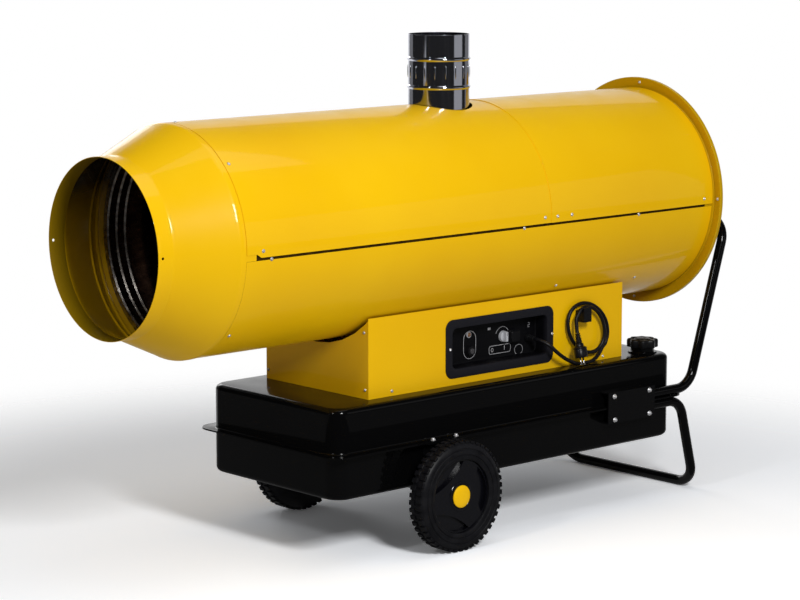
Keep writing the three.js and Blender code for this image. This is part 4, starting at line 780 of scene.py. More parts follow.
chord = fan.times(across, along_blade("Root_Width", "Tip_Width", fan.plus(outward, 0.7, "POWER")))
bow = fan.times(fan.minus(0.25, fan.times(across, across)), fan.times(fan["Camber"], 4.0))
pitch = fan.times(along_blade("Root_Pitch", "Tip_Pitch", outward), math.radians(1))
pitch_cos, pitch_sin = fan.plus(pitch, 0.0, "COSINE"), fan.plus(pitch, 0.0, "SINE")
blade_reach = along_blade("Root", "Tip", outward)
blade_turn = fan.over(fan.minus(fan.times(chord, pitch_cos), fan.times(bow, pitch_sin)), blade_reach)
blade = fan.step("SetPosition", {
    "Geometry": fan.step("MeshGrid", {"Size X": 1.0, "Size Y": 1.0, "Vertices X": 9, "Vertices Y": 15}),
    "Position": fan.vector(
        fan.plus(fan.times(chord, pitch_sin), fan.times(bow, pitch_cos)),
        fan.times(blade_reach, fan.plus(blade_turn, 0.0, "SINE")),
        fan.times(blade_reach, fan.plus(blade_turn, 0.0, "COSINE")),
    ),
})
blade_back = fan.step("ExtrudeMesh", {"Mesh": blade, "Offset Scale": fan["Thickness"], "Individual": False})
blade = fan.join(blade_back, fan.step("FlipFaces", {"Mesh": blade}))
blade = fan.step("MergeByDistance", {"Geometry": blade, "Distance": 0.00001})
blade_seats = fan.step("MeshLine", {"Count": fan["Blades"], "Offset": (0, 0, 0)}, mode="OFFSET")
blade_spin = fan.times(fan.step("InputIndex"), fan.over(2 * math.pi, fan["Blades"]))
blades = fan.copies(blade_seats, blade, Rotation=fan.turn(blade_spin))
fan.end(fan.moved(blades, fan_x, 0.0, axis_height), cast_aluminium)
dressed(grown("fan_blades", fan), cast_aluminium, "fan_impeller", body="fan")
shaft_hole = 0.0084
hub = turned("fan_hub", near(
    0, fan_x, (shaft_hole, -0.022), (0.03, -0.022), (0.038, -0.019), (0.042, -0.012), (0.042, 0.022),
    (0.036, 0.022), (0.036, -0.008), (shaft_hole, -0.008),
), "x", on_axis, 64)
dressed(softened(hub, 0.0006), cast_aluminium, body="fan")
ground_steel = Finish("ground_steel", "bright_steel", (0.5, 0.5, 0.51), Metallic=1.0, Roughness=0.25)
ground_steel.rubbed(0.18, 0.34, 500, 2, (6, 1, 1))
shaft_low, shaft_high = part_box("motor_shaft")
shaft_radius = 0.008
shaft = turned("motor_shaft_bar", [
    (0, shaft_low.x), (shaft_radius - 0.001, shaft_low.x), (shaft_radius, shaft_low.x + 0.001),
    (shaft_radius, shaft_high.x), (0, shaft_high.x),
], "x", on_axis, 32)
dressed(softened(shaft, 0.0002), ground_steel, "motor_shaft", body="fan")
motor_black = Finish("motor_enamel", "black_paint", (0.014, 0.014, 0.016), Roughness=0.5, Specular_IOR_Level=0.4)
motor_black.rubbed(0.4, 0.6, 70, 3).raised(0.00006, 700, 2)
motor_low, motor_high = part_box("fan_motor")
motor_hole = shaft_radius + touch_gap
motor = turned("fan_motor_case", [
    (motor_hole, motor_low.x + 0.03), (motor_hole, motor_low.x),
    *near(0, motor_low.x, (0.02, 0), (0.022, 0.003), (0.054, 0.004), (0.062, 0.012)),
    *near(0, motor_high.x, (0.0625, -0.02), (0.069, -0.018), (0.07, -0.014), (0.07, -0.002), (0.068, 0), (0, 0)),
], "x", on_axis, 64)
dressed(softened(motor, 0.0006), motor_black, "fan_motor")
fins = Recipe("motor_fins", Fins=24, Base_Radius=0.0655, Length=0.086, Height=0.0075, Thickness=0.0018, Middle=0.722)
fin = fins.step("MeshCube", {"Size": fins.vector(fins["Thickness"], fins["Height"], fins["Length"])})
fin_circle = fins.round_circle(fins["Fins"], fins["Base_Radius"], fin)
fins.end(fins.moved(fin_circle, fins["Middle"], 0.0, axis_height, Rotation=z_to_x), motor_black)
dressed(grown("motor_fins", fins), motor_black)


# Pieces that keep their CAD shape
# Flat plates, brackets and the closed units inside the drum and the box are already true to the real ones,
# so they only take a finish.
def refinished(finish, *names):
    for name in names:
        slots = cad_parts[name].data.materials
        slots.clear()
        slots.append(finish.material)


refinished(liner_steel, "exchanger_foot_front", "exchanger_foot_rear", "chamber_foot", "cradle_front", "cradle_rear")
refinished(wire_black, "motor_cross_bar", "tube_clamp_left", "tube_clamp_right")
refinished(wire_black, "axle_bracket_left", "axle_bracket_right")
refinished(motor_black, "burner_housing", "burner_control_unit")
refinished(ground_steel, "burner_tube", "fuel_pickup", "axle", "drain_plug")
refinished(yellow_enamel, "box_tray", "box_front_plate", "box_rear_plate", "box_side_right", "box_side_left")


# Control box
# Folded sheet steel in the drum's enamel. Its ends and sides are screwed together at their folded edges, and
# two more screws hold the panel's frame.
box_front_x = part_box("box_side_left")[0].x
bezel_low, bezel_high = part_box("control_bezel")
bezel_middle_z = (bezel_low.z + bezel_high.z) / 2
box_screws = [(Vector((x, box_side_y, z)), Vector((0, -1, 0))) for x, z in ((-0.2217, 0.383), (0.494, 0.38))]
box_screws += [
    (Vector((box_front_x, y, z)), Vector((-1, 0, 0)))
    for y, z in ((0.1785, 0.394), (-0.1717, 0.528), (-0.1749, 0.393), (0.1785, 0.528))
]
box_screws += [
    (Vector((x, bezel_low.y, bezel_middle_z)), Vector((0, -1, 0))) for x in (bezel_low.x + 0.0137, bezel_high.x - 0.005)
]
seated("box_screws", screw, screw_zinc, box_screws, Head=0.0038)


# Control panel
# One injection moulded frame in dark grey, finely grained plastic: a flat band with round corners, a deep
# recess with drafted walls, and a floor that carries the printed marks and the fittings.
def round_outline(u0, u1, v0, v1, radius, steps=8):
    """Points of a rectangle with round corners, anticlockwise"""
    corners = [(u1 - radius, v0 + radius, -90), (u1 - radius, v1 - radius, 0),
               (u0 + radius, v1 - radius, 90), (u0 + radius, v0 + radius, 180)]
    return [
        (u + radius * math.cos(math.radians(start + 90 * i / steps)),
         v + radius * math.sin(math.radians(start + 90 * i / steps)))
        for u, v, start in corners for i in range(steps + 1)
    ]


def facing_ring(low, high, y, inset, corner):
    """The outline of a box on the panel side, set in by an inset, at a depth y"""
    outline = round_outline(low.x + inset, high.x - inset, low.z + inset, high.z - inset, corner)
    return [(x, y, z) for x, z in outline]


def filled(piece, axis, level):
    """The open rim that lies at a level on the axis is shut by a flat face"""
    mesh = bmesh.new()
    mesh.from_mesh(piece.data)
    rim = [edge for edge in mesh.edges if edge.is_boundary
           and all(abs(vertex.co[axis] - level) < 1e-5 for vertex in edge.verts)]
    bmesh.ops.holes_fill(mesh, edges=rim, sides=0)
    bmesh.ops.recalc_face_normals(mesh, faces=mesh.faces)
    mesh.to_mesh(piece.data)
    mesh.free()
    return piece


def walled(piece, thickness):
    """The skin gets its thickness on the inner side"""
    wall = piece.modifiers.new("wall", "SOLIDIFY")
    wall.thickness = thickness
    wall.offset = -1
    return piece


panel_plastic = Finish("panel_plastic", "panel_plastic", (0.008, 0.008, 0.011), Roughness=0.42, Specular_IOR_Level=0.2)
# Painted shade: the plastic's colour darkens from the band's face down into the recess.
recess_shade = panel_plastic.along("Y", bezel_low.y + 0.002, bezel_low.y + 0.016)
panel_plastic.tinted((0.011, 0.011, 0.015), (0.0015, 0.0015, 0.0025), recess_shade, start=0, end=1)
panel_plastic.rubbed(0.4, 0.55, 120, 3).raised(0.00008, 2600, 2)
band = 0.0215
bezel_corner = 0.022
mouth_corner = 0.014
bezel_back_y = box_side_y - touch_gap
recess_floor_y = bezel_back_y - 0.0022 + 0.04
bezel = skinned("control_panel_moulding", [
    facing_ring(bezel_low, bezel_high, y, inset, (bezel_corner if inset < band / 2 else mouth_corner + band) - inset)
    for y, inset in (
        (bezel_back_y, 0.003), (bezel_back_y, 0), (bezel_low.y + 0.0008, 0), (bezel_low.y + 0.0002, 0.0003),
        (bezel_low.y, 0.001), (bezel_low.y, band - 0.0015), (bezel_low.y + 0.0004, band - 0.0004),
        (bezel_low.y + 0.0015, band), (recess_floor_y - 0.002, band + 0.0015),
        (recess_floor_y - 0.0005, band + 0.0022), (recess_floor_y, band + 0.0038),
    )
])
dressed(softened(walled(filled(bezel, 1, recess_floor_y), 0.0015), 0.0002, angle=50), panel_plastic, "control_bezel")


# Panel marks and fittings
# White printed lines and plain signs on the recess floor, a silver grey selector knob with a grip bar, a dark
# reset button in its collar, an amber lamp, the thermostat's socket with its flap, and the cord's gland.
def stroke(points, width, shut=False):
    """A printed line of even width through (x, z) points on the recess floor"""
    flat = [Vector((x, 0, z)) for x, z in points]
    rings = []
    for i, here in enumerate(flat):
        before = flat[i - 1] if i or shut else here
        after = flat[(i + 1) % len(flat)] if i + 1 < len(flat) or shut else here
        way = (after - before).normalized()
        side = Vector((-way.z, 0, way.x)) * width / 2
        rings.append([
            here + edge + Vector((0, y, 0)) for edge, y in (
                (side, mark_y), (side, recess_floor_y), (-side, recess_floor_y), (-side, mark_y),
            )
        ])
    return skinned("stroke", rings, shut_along=shut, capped=not shut)


def joined(name, pieces):
    """Several mesh objects as one"""
    mesh = bmesh.new()
    for piece in pieces:
        mesh.from_mesh(piece.data)
        bpy.data.objects.remove(piece)
    whole = bpy.data.objects.new(name, bpy.data.meshes.new(name))
    mesh.to_mesh(whole.data)
    mesh.free()
    scene.collection.objects.link(whole)
    return whole


def oval(x, z, half_width, half_height, degrees):
    turns = [math.radians(a) for a in degrees]
    return [(x + half_width * math.cos(turn), z + half_height * math.sin(turn)) for turn in turns]


def middle(low, high):
    """The centre of a fitting on the panel, as (x, z)"""
    return (low.x + high.x) / 2, (low.z + high.z) / 2


mark_y = recess_floor_y - 0.00012
panel_print = Finish("panel_print", "silver_plastic", (0.62, 0.62, 0.64), Roughness=0.5)
panel_print.tinted((0.5, 0.5, 0.53), (0.7, 0.7, 0.72), 400, 3)
knob_low, knob_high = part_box("selector_knob")
knob_x, knob_z = middle(knob_low, knob_high)
mark_width = 0.0011
dressed(joined("panel_marks", [
    stroke(round_outline(0.045, 0.086, 0.42, 0.488, 0.0204), mark_width, True),
    stroke([(0.126, 0.486), (0.136, 0.486)], 0.006),
    stroke(round_outline(0.131, 0.204, 0.422, 0.442, 0.006), mark_width, True),
    stroke(oval(0.1415, 0.432, 0.0035, 0.0045, [22.5 * i for i in range(16)]), mark_width, True),
    stroke([(0.183, 0.428), (0.183, 0.440)], 0.0016),
    stroke(oval(knob_x, knob_z, 0.0235, 0.0235, range(20, 165, 5)), mark_width),
    stroke(oval(0.232, 0.4235, 0.014, 0.0125, [11.25 * i for i in range(32)]), 0.0008, True),
    stroke([(0.264, 0.486), (0.27, 0.486), (0.27, 0.481), (0.264, 0.481), (0.264, 0.476), (0.27, 0.476)], 0.0012),
]), panel_print)

knob_plastic = Finish("knob_plastic", "silver_plastic", (0.5, 0.51, 0.54), Roughness=0.38, Specular_IOR_Level=0.5)
knob_plastic.rubbed(0.32, 0.46, 200, 3).raised(0.00005, 2400, 2)
knob_y = knob_high.y - 0.008
knob_radius = 0.014
knob = turned("selector_knob_body", [
    (0, knob_y - 0.0085),
    *near(knob_radius, knob_y, (-0.003, -0.0085), (-0.001, -0.0075), (-0.0005, -0.002), (0, -0.001)),
    (knob_radius, recess_floor_y - 0.001), (0.003, recess_floor_y - 0.001), (0.003, knob_high.y), (0, knob_high.y),
], "y", (knob_x, knob_z))
dressed(softened(knob), knob_plastic, "selector_knob", body="selector")
grip_half = (0.0042, 0.0126)
grip = skinned("selector_knob_grip", [
    [(x, y, z) for x, z in round_outline(
        knob_x - grip_half[0] + taper, knob_x + grip_half[0] - taper,
        knob_z - grip_half[1] + taper, knob_z + grip_half[1] - taper, 0.0022)]
    for y, taper in ((knob_y - 0.007, -0.0008), (knob_low.y + 0.0008, 0.0006), (knob_low.y, 0.0014))
], capped=True)
dressed(softened(grip, 0.0002), knob_plastic, body="selector")
pointer = skinned("selector_pointer", [
    [(knob_x + u, y, knob_z + v) for u, v in ((-0.0007, 0.003), (0.0007, 0.003), (0.0007, 0.0108), (-0.0007, 0.0108))]
    for y in (knob_low.y - 0.00005, knob_low.y + 0.0003)
], capped=True)
pointer_paint = Finish("pointer_paint", "black_plastic", (0.02, 0.02, 0.022), Roughness=0.5).rubbed(0.4, 0.6, 300)
dressed(pointer, pointer_paint, body="selector")

small_black = Finish("fitting_plastic", "black_plastic", (0.005, 0.005, 0.006), Roughness=0.36, Specular_IOR_Level=0.25)
small_black.rubbed(0.3, 0.48, 150, 3).raised(0.00005, 2200, 2)
reset_low, reset_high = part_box("reset_button")
reset_middle = middle(reset_low, reset_high)
reset_y = reset_low.y
reset_plastic = Finish("reset_plastic", "red_plastic", (0.06, 0.058, 0.062), Roughness=0.3, Specular_IOR_Level=0.3)
reset_plastic.rubbed(0.24, 0.38, 220)
dressed(turned("reset_button_cap", [
    *near(0, reset_y, (0, 0.0007), (0.004, 0.0003), (0.006, 0), (0.0068, 0.0006), (0.007, 0.0015)),
    (0.007, reset_y + 0.006), (0.003, reset_y + 0.006), (0.003, reset_high.y), (0, reset_high.y),
], "y", reset_middle, 40), reset_plastic, "reset_button", body="reset")
dressed(softened(turned("reset_collar", [
    (0.0074, recess_floor_y), (0.0074, reset_y + 0.0032), (0.0082, reset_y + 0.0022),
    (0.0118, reset_y + 0.0026), (0.0132, recess_floor_y - 0.0015), (0.0136, recess_floor_y),
], "y", reset_middle)), small_black)
lamp_low, lamp_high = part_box("pilot_lamp")
lamp_y = lamp_high.y
amber_lens = Finish(
    "amber_lens", "amber_plastic", (0.2, 0.1, 0.05), Roughness=0.16, Coat_Weight=0.6, Coat_Roughness=0.05,
)
amber_lens.rubbed(0.1, 0.22, 300)
lens_radius = 0.0056
lens_turns = [math.pi / 2 * i / 8 for i in range(9)]
dressed(turned("pilot_lamp_lens", [
    *[(lens_radius * math.sin(turn), lamp_y - 0.0012 - 0.0036 * math.cos(turn)) for turn in lens_turns],
    (lens_radius, lamp_y), (0, lamp_y),
], "y", middle(lamp_low, lamp_high), 32), amber_lens, "pilot_lamp")
dressed(softened(turned("pilot_lamp_rim", [
    (0.0057, recess_floor_y), (0.0057, lamp_y - 0.0016), (0.0064, lamp_y - 0.002),
    (0.0076, lamp_y - 0.0012), (0.0078, recess_floor_y),
], "y", middle(lamp_low, lamp_high), 40), 0.0002), knob_plastic)
socket_low, socket_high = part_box("thermostat_socket")
socket_y = socket_low.y
for name, rings, nodes in (
    ("thermostat_socket_base", (
        (socket_high.y, 0, 0.004), (socket_y + 0.0065, 0, 0.004), (socket_y + 0.0055, 0.001, 0.003),
    ), ["thermostat_socket"]),
    ("thermostat_socket_flap", (
        (socket_y + 0.0052, 0.0022, 0.004), (socket_y + 0.001, 0.0026, 0.004), (socket_y, 0.0038, 0.003),
    ), []),
):
    socket_part = skinned(name, [facing_ring(socket_low, socket_high, *ring) for ring in rings], capped=True)
    dressed(softened(socket_part), small_black, *nodes)
hinge_radius = 0.0021
dressed(softened(turned("thermostat_flap_hinge", [
    (0, socket_low.x + 0.003), (hinge_radius, socket_low.x + 0.003), (hinge_radius, socket_high.x - 0.003),
    (0, socket_high.x - 0.003),
], "x", (socket_y + 0.0035, socket_high.z - 0.0035), 20)), small_black)
gland_profile = [(0, gland_high.y), (0.01, gland_high.y), (0.01, gland_high.y - 0.004)]
gland_ribs = 4
rib_step = (gland_high.y - 0.005 - gland_low.y) / gland_ribs
for i in range(gland_ribs):
    rib_y = gland_high.y - 0.005 - i * rib_step
    rib_radius = 0.0094 - 0.0028 * i / gland_ribs
    gland_profile += near(rib_radius, rib_y, (0, 0), (-0.0004, -0.7 * rib_step), (-0.0018, -0.78 * rib_step))
gland_profile += [(0.0062, gland_low.y), (0, gland_low.y)]
gland = turned("cable_gland_boot", gland_profile, "y", middle(gland_low, gland_high), 32)
dressed(softened(gland, 0.0002), small_black, "cable_gland")
refinished(small_black, "cable_hook")


# Fuel tank
# Two pressed steel halves, seam welded at a flange all round, in gloss black enamel over slightly soft
# pressings: large vertical corners, rounded upper and lower edges.
black_enamel = Finish(
    "black_enamel", "black_paint", (0.002, 0.002, 0.0022), Roughness=0.2, Specular_IOR_Level=0.03, Coat_Weight=0.35,
    Coat_Roughness=0.02,
)
black_enamel.rubbed(0.16, 0.26, 16, 4).raised(0.00001, 380).raised(0.0003, 6, 1)
tank_low, flange_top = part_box("tank_lower")
flange_low, tank_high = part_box("tank_upper")
tank_sheet = 0.0015
flange_sheet = 0.0018
flange_width = 0.025
tank_corner = 0.04
tank_round = 0.014
round_steps = 6


def pressed_half(name, seam, shut_z):
    """A pressed half: its flange, its walls, its rounded edge and its flat, from the seam to where it is shut"""
    way = 1 if shut_z > seam else -1
    flange_z = seam + way * flange_sheet
    levels = [
        (seam, flange_width + tank_sheet, tank_corner), (seam, 0, 0.045), (flange_z, 0, 0.045),
        (flange_z, flange_width - 0.003, tank_corner + 0.002),
        (flange_z + way * 0.001, flange_width - 0.0008, tank_corner),
        (flange_z + way * 0.004, flange_width, tank_corner),
    ]
    for i in range(round_steps + 1):
        turn = math.pi / 2 * i / round_steps
        drawn_in = tank_round * (1 - math.cos(turn))
        level = shut_z - way * tank_round * (1 - math.sin(turn))
        levels.append((level, flange_width + drawn_in, tank_corner - 0.5 * drawn_in))
    levels.append((shut_z, flange_width + 0.06, 0.03))
    return filled(skinned(name, [
        [(x, y, z) for x, y in round_outline(
            flange_low.x + inset, tank_high.x - inset, flange_low.y + inset, tank_high.y - inset, corner, 10)]
        for z, inset, corner in levels
    ]), 2, shut_z)


neck_low, neck_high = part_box("filler_neck")
neck_middle = ((neck_low.x + neck_high.x) / 2, (neck_low.y + neck_high.y) / 2)
neck_bore = 0.027
upper_half = walled(pressed_half("tank_upper_pressing", flange_low.z, tank_high.z), tank_sheet)
cut_by(upper_half, turned("neck_drill", [
    (0, tank_high.z - 0.02), (neck_bore, tank_high.z - 0.02), (neck_bore, tank_high.z + 0.02), (0, tank_high.z + 0.02),
], "z", neck_middle))
dressed(softened(upper_half, angle=60), black_enamel, "tank_upper")
lower_half = pressed_half("tank_lower_pressing", flange_top.z, tank_low.z)
dressed(softened(lower_half, angle=60), black_enamel, "tank_lower")


# Filler
# A short steel neck with its flange on the tank's top, a rubber seal, and a black cap moulded with eight lobes,
# a groove and a raised middle. The cap turns a quarter turn and lifts off with its seal.
dressed(softened(turned("filler_neck_pipe", [
    *near(0, neck_low.z, (neck_bore, 0), (0.037, 0), (0.037, 0.0022), (0.0362, 0.003), (0.031, 0.003), (0.03, 0.004)),
    *near(0, neck_high.z, (0.03, -0.0006), (0.0294, 0), (0.0276, 0), (neck_bore, -0.0006)),
], "z", neck_middle, 64), 0.0002), black_enamel, "filler_neck")
cap_low, cap_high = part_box("filler_cap")
cap_plastic = Finish("cap_plastic", "black_plastic", (0.005, 0.005, 0.006), Roughness=0.36, Specular_IOR_Level=0.25)
cap_plastic.rubbed(0.32, 0.5, 90, 3).raised(0.00006, 1800, 2)
cap_radius = 0.04
cap_lobe = 0.0028
cap_lobes = 8
cap_turns = [2 * math.pi * i / 96 for i in range(96)]
cap_top = cap_high.z
cap_rings = []
for z, inset, lobe_share in (
    (cap_low.z, 0.0088, 0), (cap_low.z, 0.0012, 1), (cap_low.z + 0.001, 0.0002, 1), (cap_top - 0.006, 0, 1),
    (cap_top - 0.0028, 0.0009, 1), (cap_top - 0.0012, 0.0026, 1), (cap_top - 0.0006, 0.006, 0.8),
    (cap_top - 0.0006, 0.0095, 0.5), (cap_top - 0.0032, 0.0112, 0.3), (cap_top - 0.0034, 0.0185, 0),
    (cap_top - 0.0008, 0.02, 0), (cap_top, 0.0215, 0), (cap_top, 0.032, 0),
):
    reaches = [cap_radius - inset - lobe_share * cap_lobe * (1 - math.cos(cap_lobes * turn)) for turn in cap_turns]
    cap_rings.append([
        (neck_middle[0] + reach * math.cos(turn), neck_middle[1] + reach * math.sin(turn), z)
        for reach, turn in zip(reaches, cap_turns)
    ])
cap = walled(filled(skinned("filler_cap_moulding", cap_rings), 2, cap_top), 0.002)
dressed(softened(cap, angle=50), cap_plastic, "filler_cap", body="cap")
seal_rubber = Finish("seal_rubber", "black_plastic", (0.015, 0.015, 0.015), Roughness=0.7).raised(0.00005, 900)
refinished(seal_rubber, "cap_seal")


# Handle and foot stand
# Two bent 25 mm steel tubes in gloss black enamel, held against the tank's flange by a clamp on each side.
# The handle rises behind the drum to a level grip; the stand's cross bar rests on the floor.
def bent_path(corners, bend_radius, steps=12):
    """Straight runs between the corners, with an arc of the bend radius at each"""
    corners = [Vector(corner) for corner in corners]
    path = [corners[0]]
    for before, here, after in zip(corners, corners[1:], corners[2:]):
        coming = (here - before).normalized()
        going = (after - here).normalized()
        bend = coming.angle(going)
        side = (going - coming * going.dot(coming)).normalized()
        start = here - coming * bend_radius * math.tan(bend / 2)
        for k in range(steps + 1):
            turn = bend * k / steps
            path.append(start + coming * bend_radius * math.sin(turn) + side * bend_radius * (1 - math.cos(turn)))
    return [*path, corners[-1]]


def tube_along(name, path, radius, sides=32):
    """A round tube along a path, with flat ends"""
    along = [(b - a).normalized() for a, b in zip(path, path[1:])]
    ways = [along[0]] + [(a + b).normalized() for a, b in zip(along, along[1:])] + [along[-1]]
    turns = [2 * math.pi * i / sides for i in range(sides)]
    side = ways[0].cross(Vector((0, 0, 1))).normalized()
    rings = []
    for place, way in zip(path, ways):
        side = (side - way * side.dot(way)).normalized()
        other = way.cross(side)
        rings.append([place + (side * math.cos(turn) + other * math.sin(turn)) * radius for turn in turns])
    return skinned(name, rings, capped=True)


tube_radius = 0.0125
tube_y = tank_high.y - flange_width + tube_radius
tube_front_x = 0.48
for name, node, tube_z, bend_x, top_y, top_z, bend_radius in (
    ("push_handle_tube", "push_handle", 0.2773, 0.7545, tube_y, 0.7005, 0.062),
    ("foot_stand_tube", "foot_stand", 0.2477, 0.719, tube_y * 0.93, tube_radius, 0.06),
):
    top_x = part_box(node)[1].x - tube_radius
    near_side = [(tube_front_x, -tube_y, tube_z), (bend_x, -tube_y, tube_z), (top_x, -top_y, top_z)]
    far_side = [(x, -y, z) for x, y, z in reversed(near_side)]
    tube = tube_along(name, bent_path([*near_side, *far_side], bend_radius), tube_radius)
    dressed(softened(tube, 0.001, angle=50), black_enamel, node)
bolt = Recipe("hexagon_bolt", Across=0.0046, Height=0.0036, Washer=0.0062)
washer_height = bolt.times(bolt["Washer"], 0.16)
washer = bolt.step("MeshCylinder", {"Vertices": 20, "Radius": bolt["Washer"], "Depth": washer_height})
washer = bolt.moved(washer, z=bolt.times(washer_height, 0.5))
hexagon = bolt.step("MeshCylinder", {"Vertices": 6, "Radius": bolt["Across"], "Depth": bolt["Height"]})
hexagon = bolt.moved(hexagon, z=bolt.plus(washer_height, bolt.times(bolt["Height"], 0.5)))
crown = bolt.step("MeshUVSphere", {"Segments": 12, "Rings": 6, "Radius": bolt.times(bolt["Across"], 0.8)})
crown = bolt.moved(crown, z=bolt.plus(washer_height, bolt["Height"]), Scale=(1, 1, 0.25))
bolt.end(bolt.copies(bolt["Base"], bolt.join(hexagon, washer, crown), Rotation=bolt.seat_turn()), screw_zinc)
clamp_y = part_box("tube_clamp_left")[0].y
seated("clamp_bolts", bolt, screw_zinc, [
    (Vector((x, -side * clamp_y, z)), Vector((0, side, 0))) for side in (-1, 1)
    for x, z in ((0.458, 0.2915), (0.5865, 0.2915), (0.4605, 0.2317), (0.5875, 0.2317))
])
wheel_low, wheel_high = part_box("tyre_left")
wheel_x, axle_z = middle(wheel_low, wheel_high)
bracket_bolt_y = 0.247
bracket_bolt_span = 0.074
flange_bolt_z = flange_low.z + flange_sheet
seated("bracket_bolts", bolt, screw_zinc, [
    (Vector((wheel_x + end * bracket_bolt_span / 2, side * bracket_bolt_y, flange_bolt_z)), Vector((0, 0, 1)))
    for side in (-1, 1) for end in (-1, 1)
])


# Wheels
# Black moulded discs with three curved pockets, tyres of solid rubber with stepped side walls and two
# staggered rows of lugs, and yellow caps pushed on the axle's ends.
tyre_rubber = Finish("tyre_rubber", "tyre", (0.006, 0.006, 0.008), Roughness=0.5, Specular_IOR_Level=0.2)
tyre_rubber.tinted((0.004, 0.004, 0.0055), (0.009, 0.009, 0.011), 40, 5)
tyre_rubber.rubbed(0.36, 0.55, 25, 4).raised(0.00008, 1400, 3)
disc_plastic = Finish("disc_plastic", "black_plastic", (0.003, 0.003, 0.005), Roughness=0.18, Specular_IOR_Level=0.5)
disc_plastic.rubbed(0.12, 0.22, 60, 3).raised(0.00005, 1600, 2)
yellow_cap = Finish("hub_cap_plastic", "yellow_plastic", (0.98, 0.57, 0.003), Roughness=0.38, Specular_IOR_Level=0.15)
yellow_cap.rubbed(0.32, 0.46, 150, 3)
on_axle = (wheel_x, axle_z)
wheel_radius = wheel_high.z - axle_z
outer = -wheel_low.y
inner = outer - (wheel_high.y - wheel_low.y)
base_radius = wheel_radius - 0.003
disc_radius = 0.088
disc_face_y = outer - 0.009
disc_back_y = outer - 0.04
boss_radius = 0.024
boss_inner_y = 0.2379
axle_hole = 0.0103
lugs = Recipe(
    "tyre_lugs", Lugs=46, Reach=base_radius, Long=0.0115, Wide=0.0175, High=0.006, Offset=0.012, Middle=0.0,
)
lug = lugs.step("MeshCube", {"Size": lugs.vector(lugs["Long"], lugs["High"], lugs["Wide"])})
lug_rows = []
for side, shift in ((-1.0, 0.0), (1.0, 0.5)):
    lug_turn = lugs.turn(z=lugs.times(lugs.over(2 * math.pi, lugs["Lugs"]), shift))
    row = lugs.round_circle(lugs["Lugs"], lugs["Reach"], lug)
    lug_rows.append(lugs.moved(row, z=lugs.times(lugs["Offset"], side), Rotation=lug_turn))
z_to_y = (math.radians(90), 0, 0)
lugs.end(lugs.moved(lugs.join(*lug_rows), wheel_x, lugs["Middle"], axle_z, Rotation=z_to_y), tyre_rubber)
pocket_outer_radius = 0.084
pocket_inner_radius = 0.052
pocket_half_angle = math.radians(43)
pocket_turn = math.radians(24)
pocket_depth = 0.009


def pocket_cutter(side, turn):
    """A prism between an outer arc along the disc's rim and an arc that bulges to the hub"""
    half_chord = pocket_outer_radius * math.sin(pocket_half_angle)
    bulge = pocket_outer_radius * math.cos(pocket_half_angle) - pocket_inner_radius
    bulge_radius = (half_chord**2 + bulge**2) / (2 * bulge)
    spread = math.asin(half_chord / bulge_radius)
    rim_turns = [pocket_half_angle * (i / 8 - 1) for i in range(16)]
    bulge_turns = [-spread * (i / 8 - 1) for i in range(16)]
    outline = [(pocket_outer_radius * math.sin(t), pocket_outer_radius * math.cos(t)) for t in rim_turns]
    outline += [
        (bulge_radius * math.sin(t), pocket_inner_radius + bulge_radius * (1 - math.cos(t))) for t in bulge_turns
    ]
    rings = [[(u, side * y, v) for u, v in outline] for y in (disc_face_y - pocket_depth, disc_face_y + 0.01)]
    cutter = skinned("pocket_cutter", rings, capped=True)
    return placed(cutter, Matrix.Translation((wheel_x, 0, axle_z)) @ Matrix.Rotation(turn, 4, "Y"))


def on_wheel(name, label, side, profile, segments=96):
    """A profile turned about the axle, for the wheel on that side"""
    return turned(f"{name}_{label}", [(radius, side * y) for radius, y in profile], "y", on_axle, segments)


tyre_profile = [
    *near(disc_radius, outer, (touch_gap, -0.0035), (0.003, -0.002), (0.0095, -0.001), (0.0105, -0.0026)),
    *near(disc_radius, outer, (0.0125, -0.0026), (0.0135, -0.0006), (0.0225, 0), (0.0237, -0.002)),
    *near(disc_radius, outer, (0.0262, -0.002), (0.0274, -0.0004)),
    *near(wheel_radius, outer, (-0.0125, -0.0012), (-0.0065, -0.0042)), (base_radius, outer - 0.009),
    (base_radius, inner + 0.009), *near(wheel_radius, inner, (-0.0065, 0.0042), (-0.0125, 0.0012)),
    *near(disc_radius, inner, (0.02, 0), (0.004, 0.002), (touch_gap, 0.0035)),
]
disc_profile = [
    (axle_hole, boss_inner_y), (boss_radius, boss_inner_y), (boss_radius, disc_back_y), (disc_radius, disc_back_y),
    (disc_radius, disc_face_y - 0.0008), (disc_radius - 0.0008, disc_face_y),
    *near(0, disc_face_y, (0.036, 0), (0.0348, 0.0014), (0.0336, 0.002), (0.0298, 0.002), (0.0288, 0.0011)),
    *near(0, disc_face_y, (0.028, 0.0011), (0.0274, 0.002), (axle_hole, 0.002)),
]
cap_base = disc_face_y + 0.0023
cap_edge = 0.0268
hub_cap_profile = [
    (0, cap_base), *near(cap_edge, cap_base, (-0.0006, 0), (0, 0.0006), (0, 0.0026), (-0.001, 0.0036)),
    (cap_edge * 0.8, cap_base + 0.0052), (cap_edge * 0.5, cap_base + 0.0062), (0, outer),
]
for label, side in (("left", -1), ("right", 1)):
    body = f"wheel_{label}_set"
    dressed(softened(on_wheel("tyre_carcass", label, side, tyre_profile)), tyre_rubber, f"tyre_{label}", body=body)
    lug_piece = grown(f"tyre_lugs_{label}", lugs, Middle=side * (outer + inner) / 2)
    dressed(softened(lug_piece, 0.0012, 1), tyre_rubber, body=body)
    pockets = [pocket_cutter(side, 2 * math.pi * (i + 0.5) / 3 - side * pocket_turn) for i in range(3)]
    disc = cut_by(on_wheel("wheel_disc", label, side, disc_profile), *pockets)
    dressed(softened(disc, 0.0015, 3), disc_plastic, f"wheel_{label}", body=body)
    dressed(on_wheel("hub_cap_dome", label, side, hub_cap_profile, 64), yellow_cap, f"hub_cap_{label}")


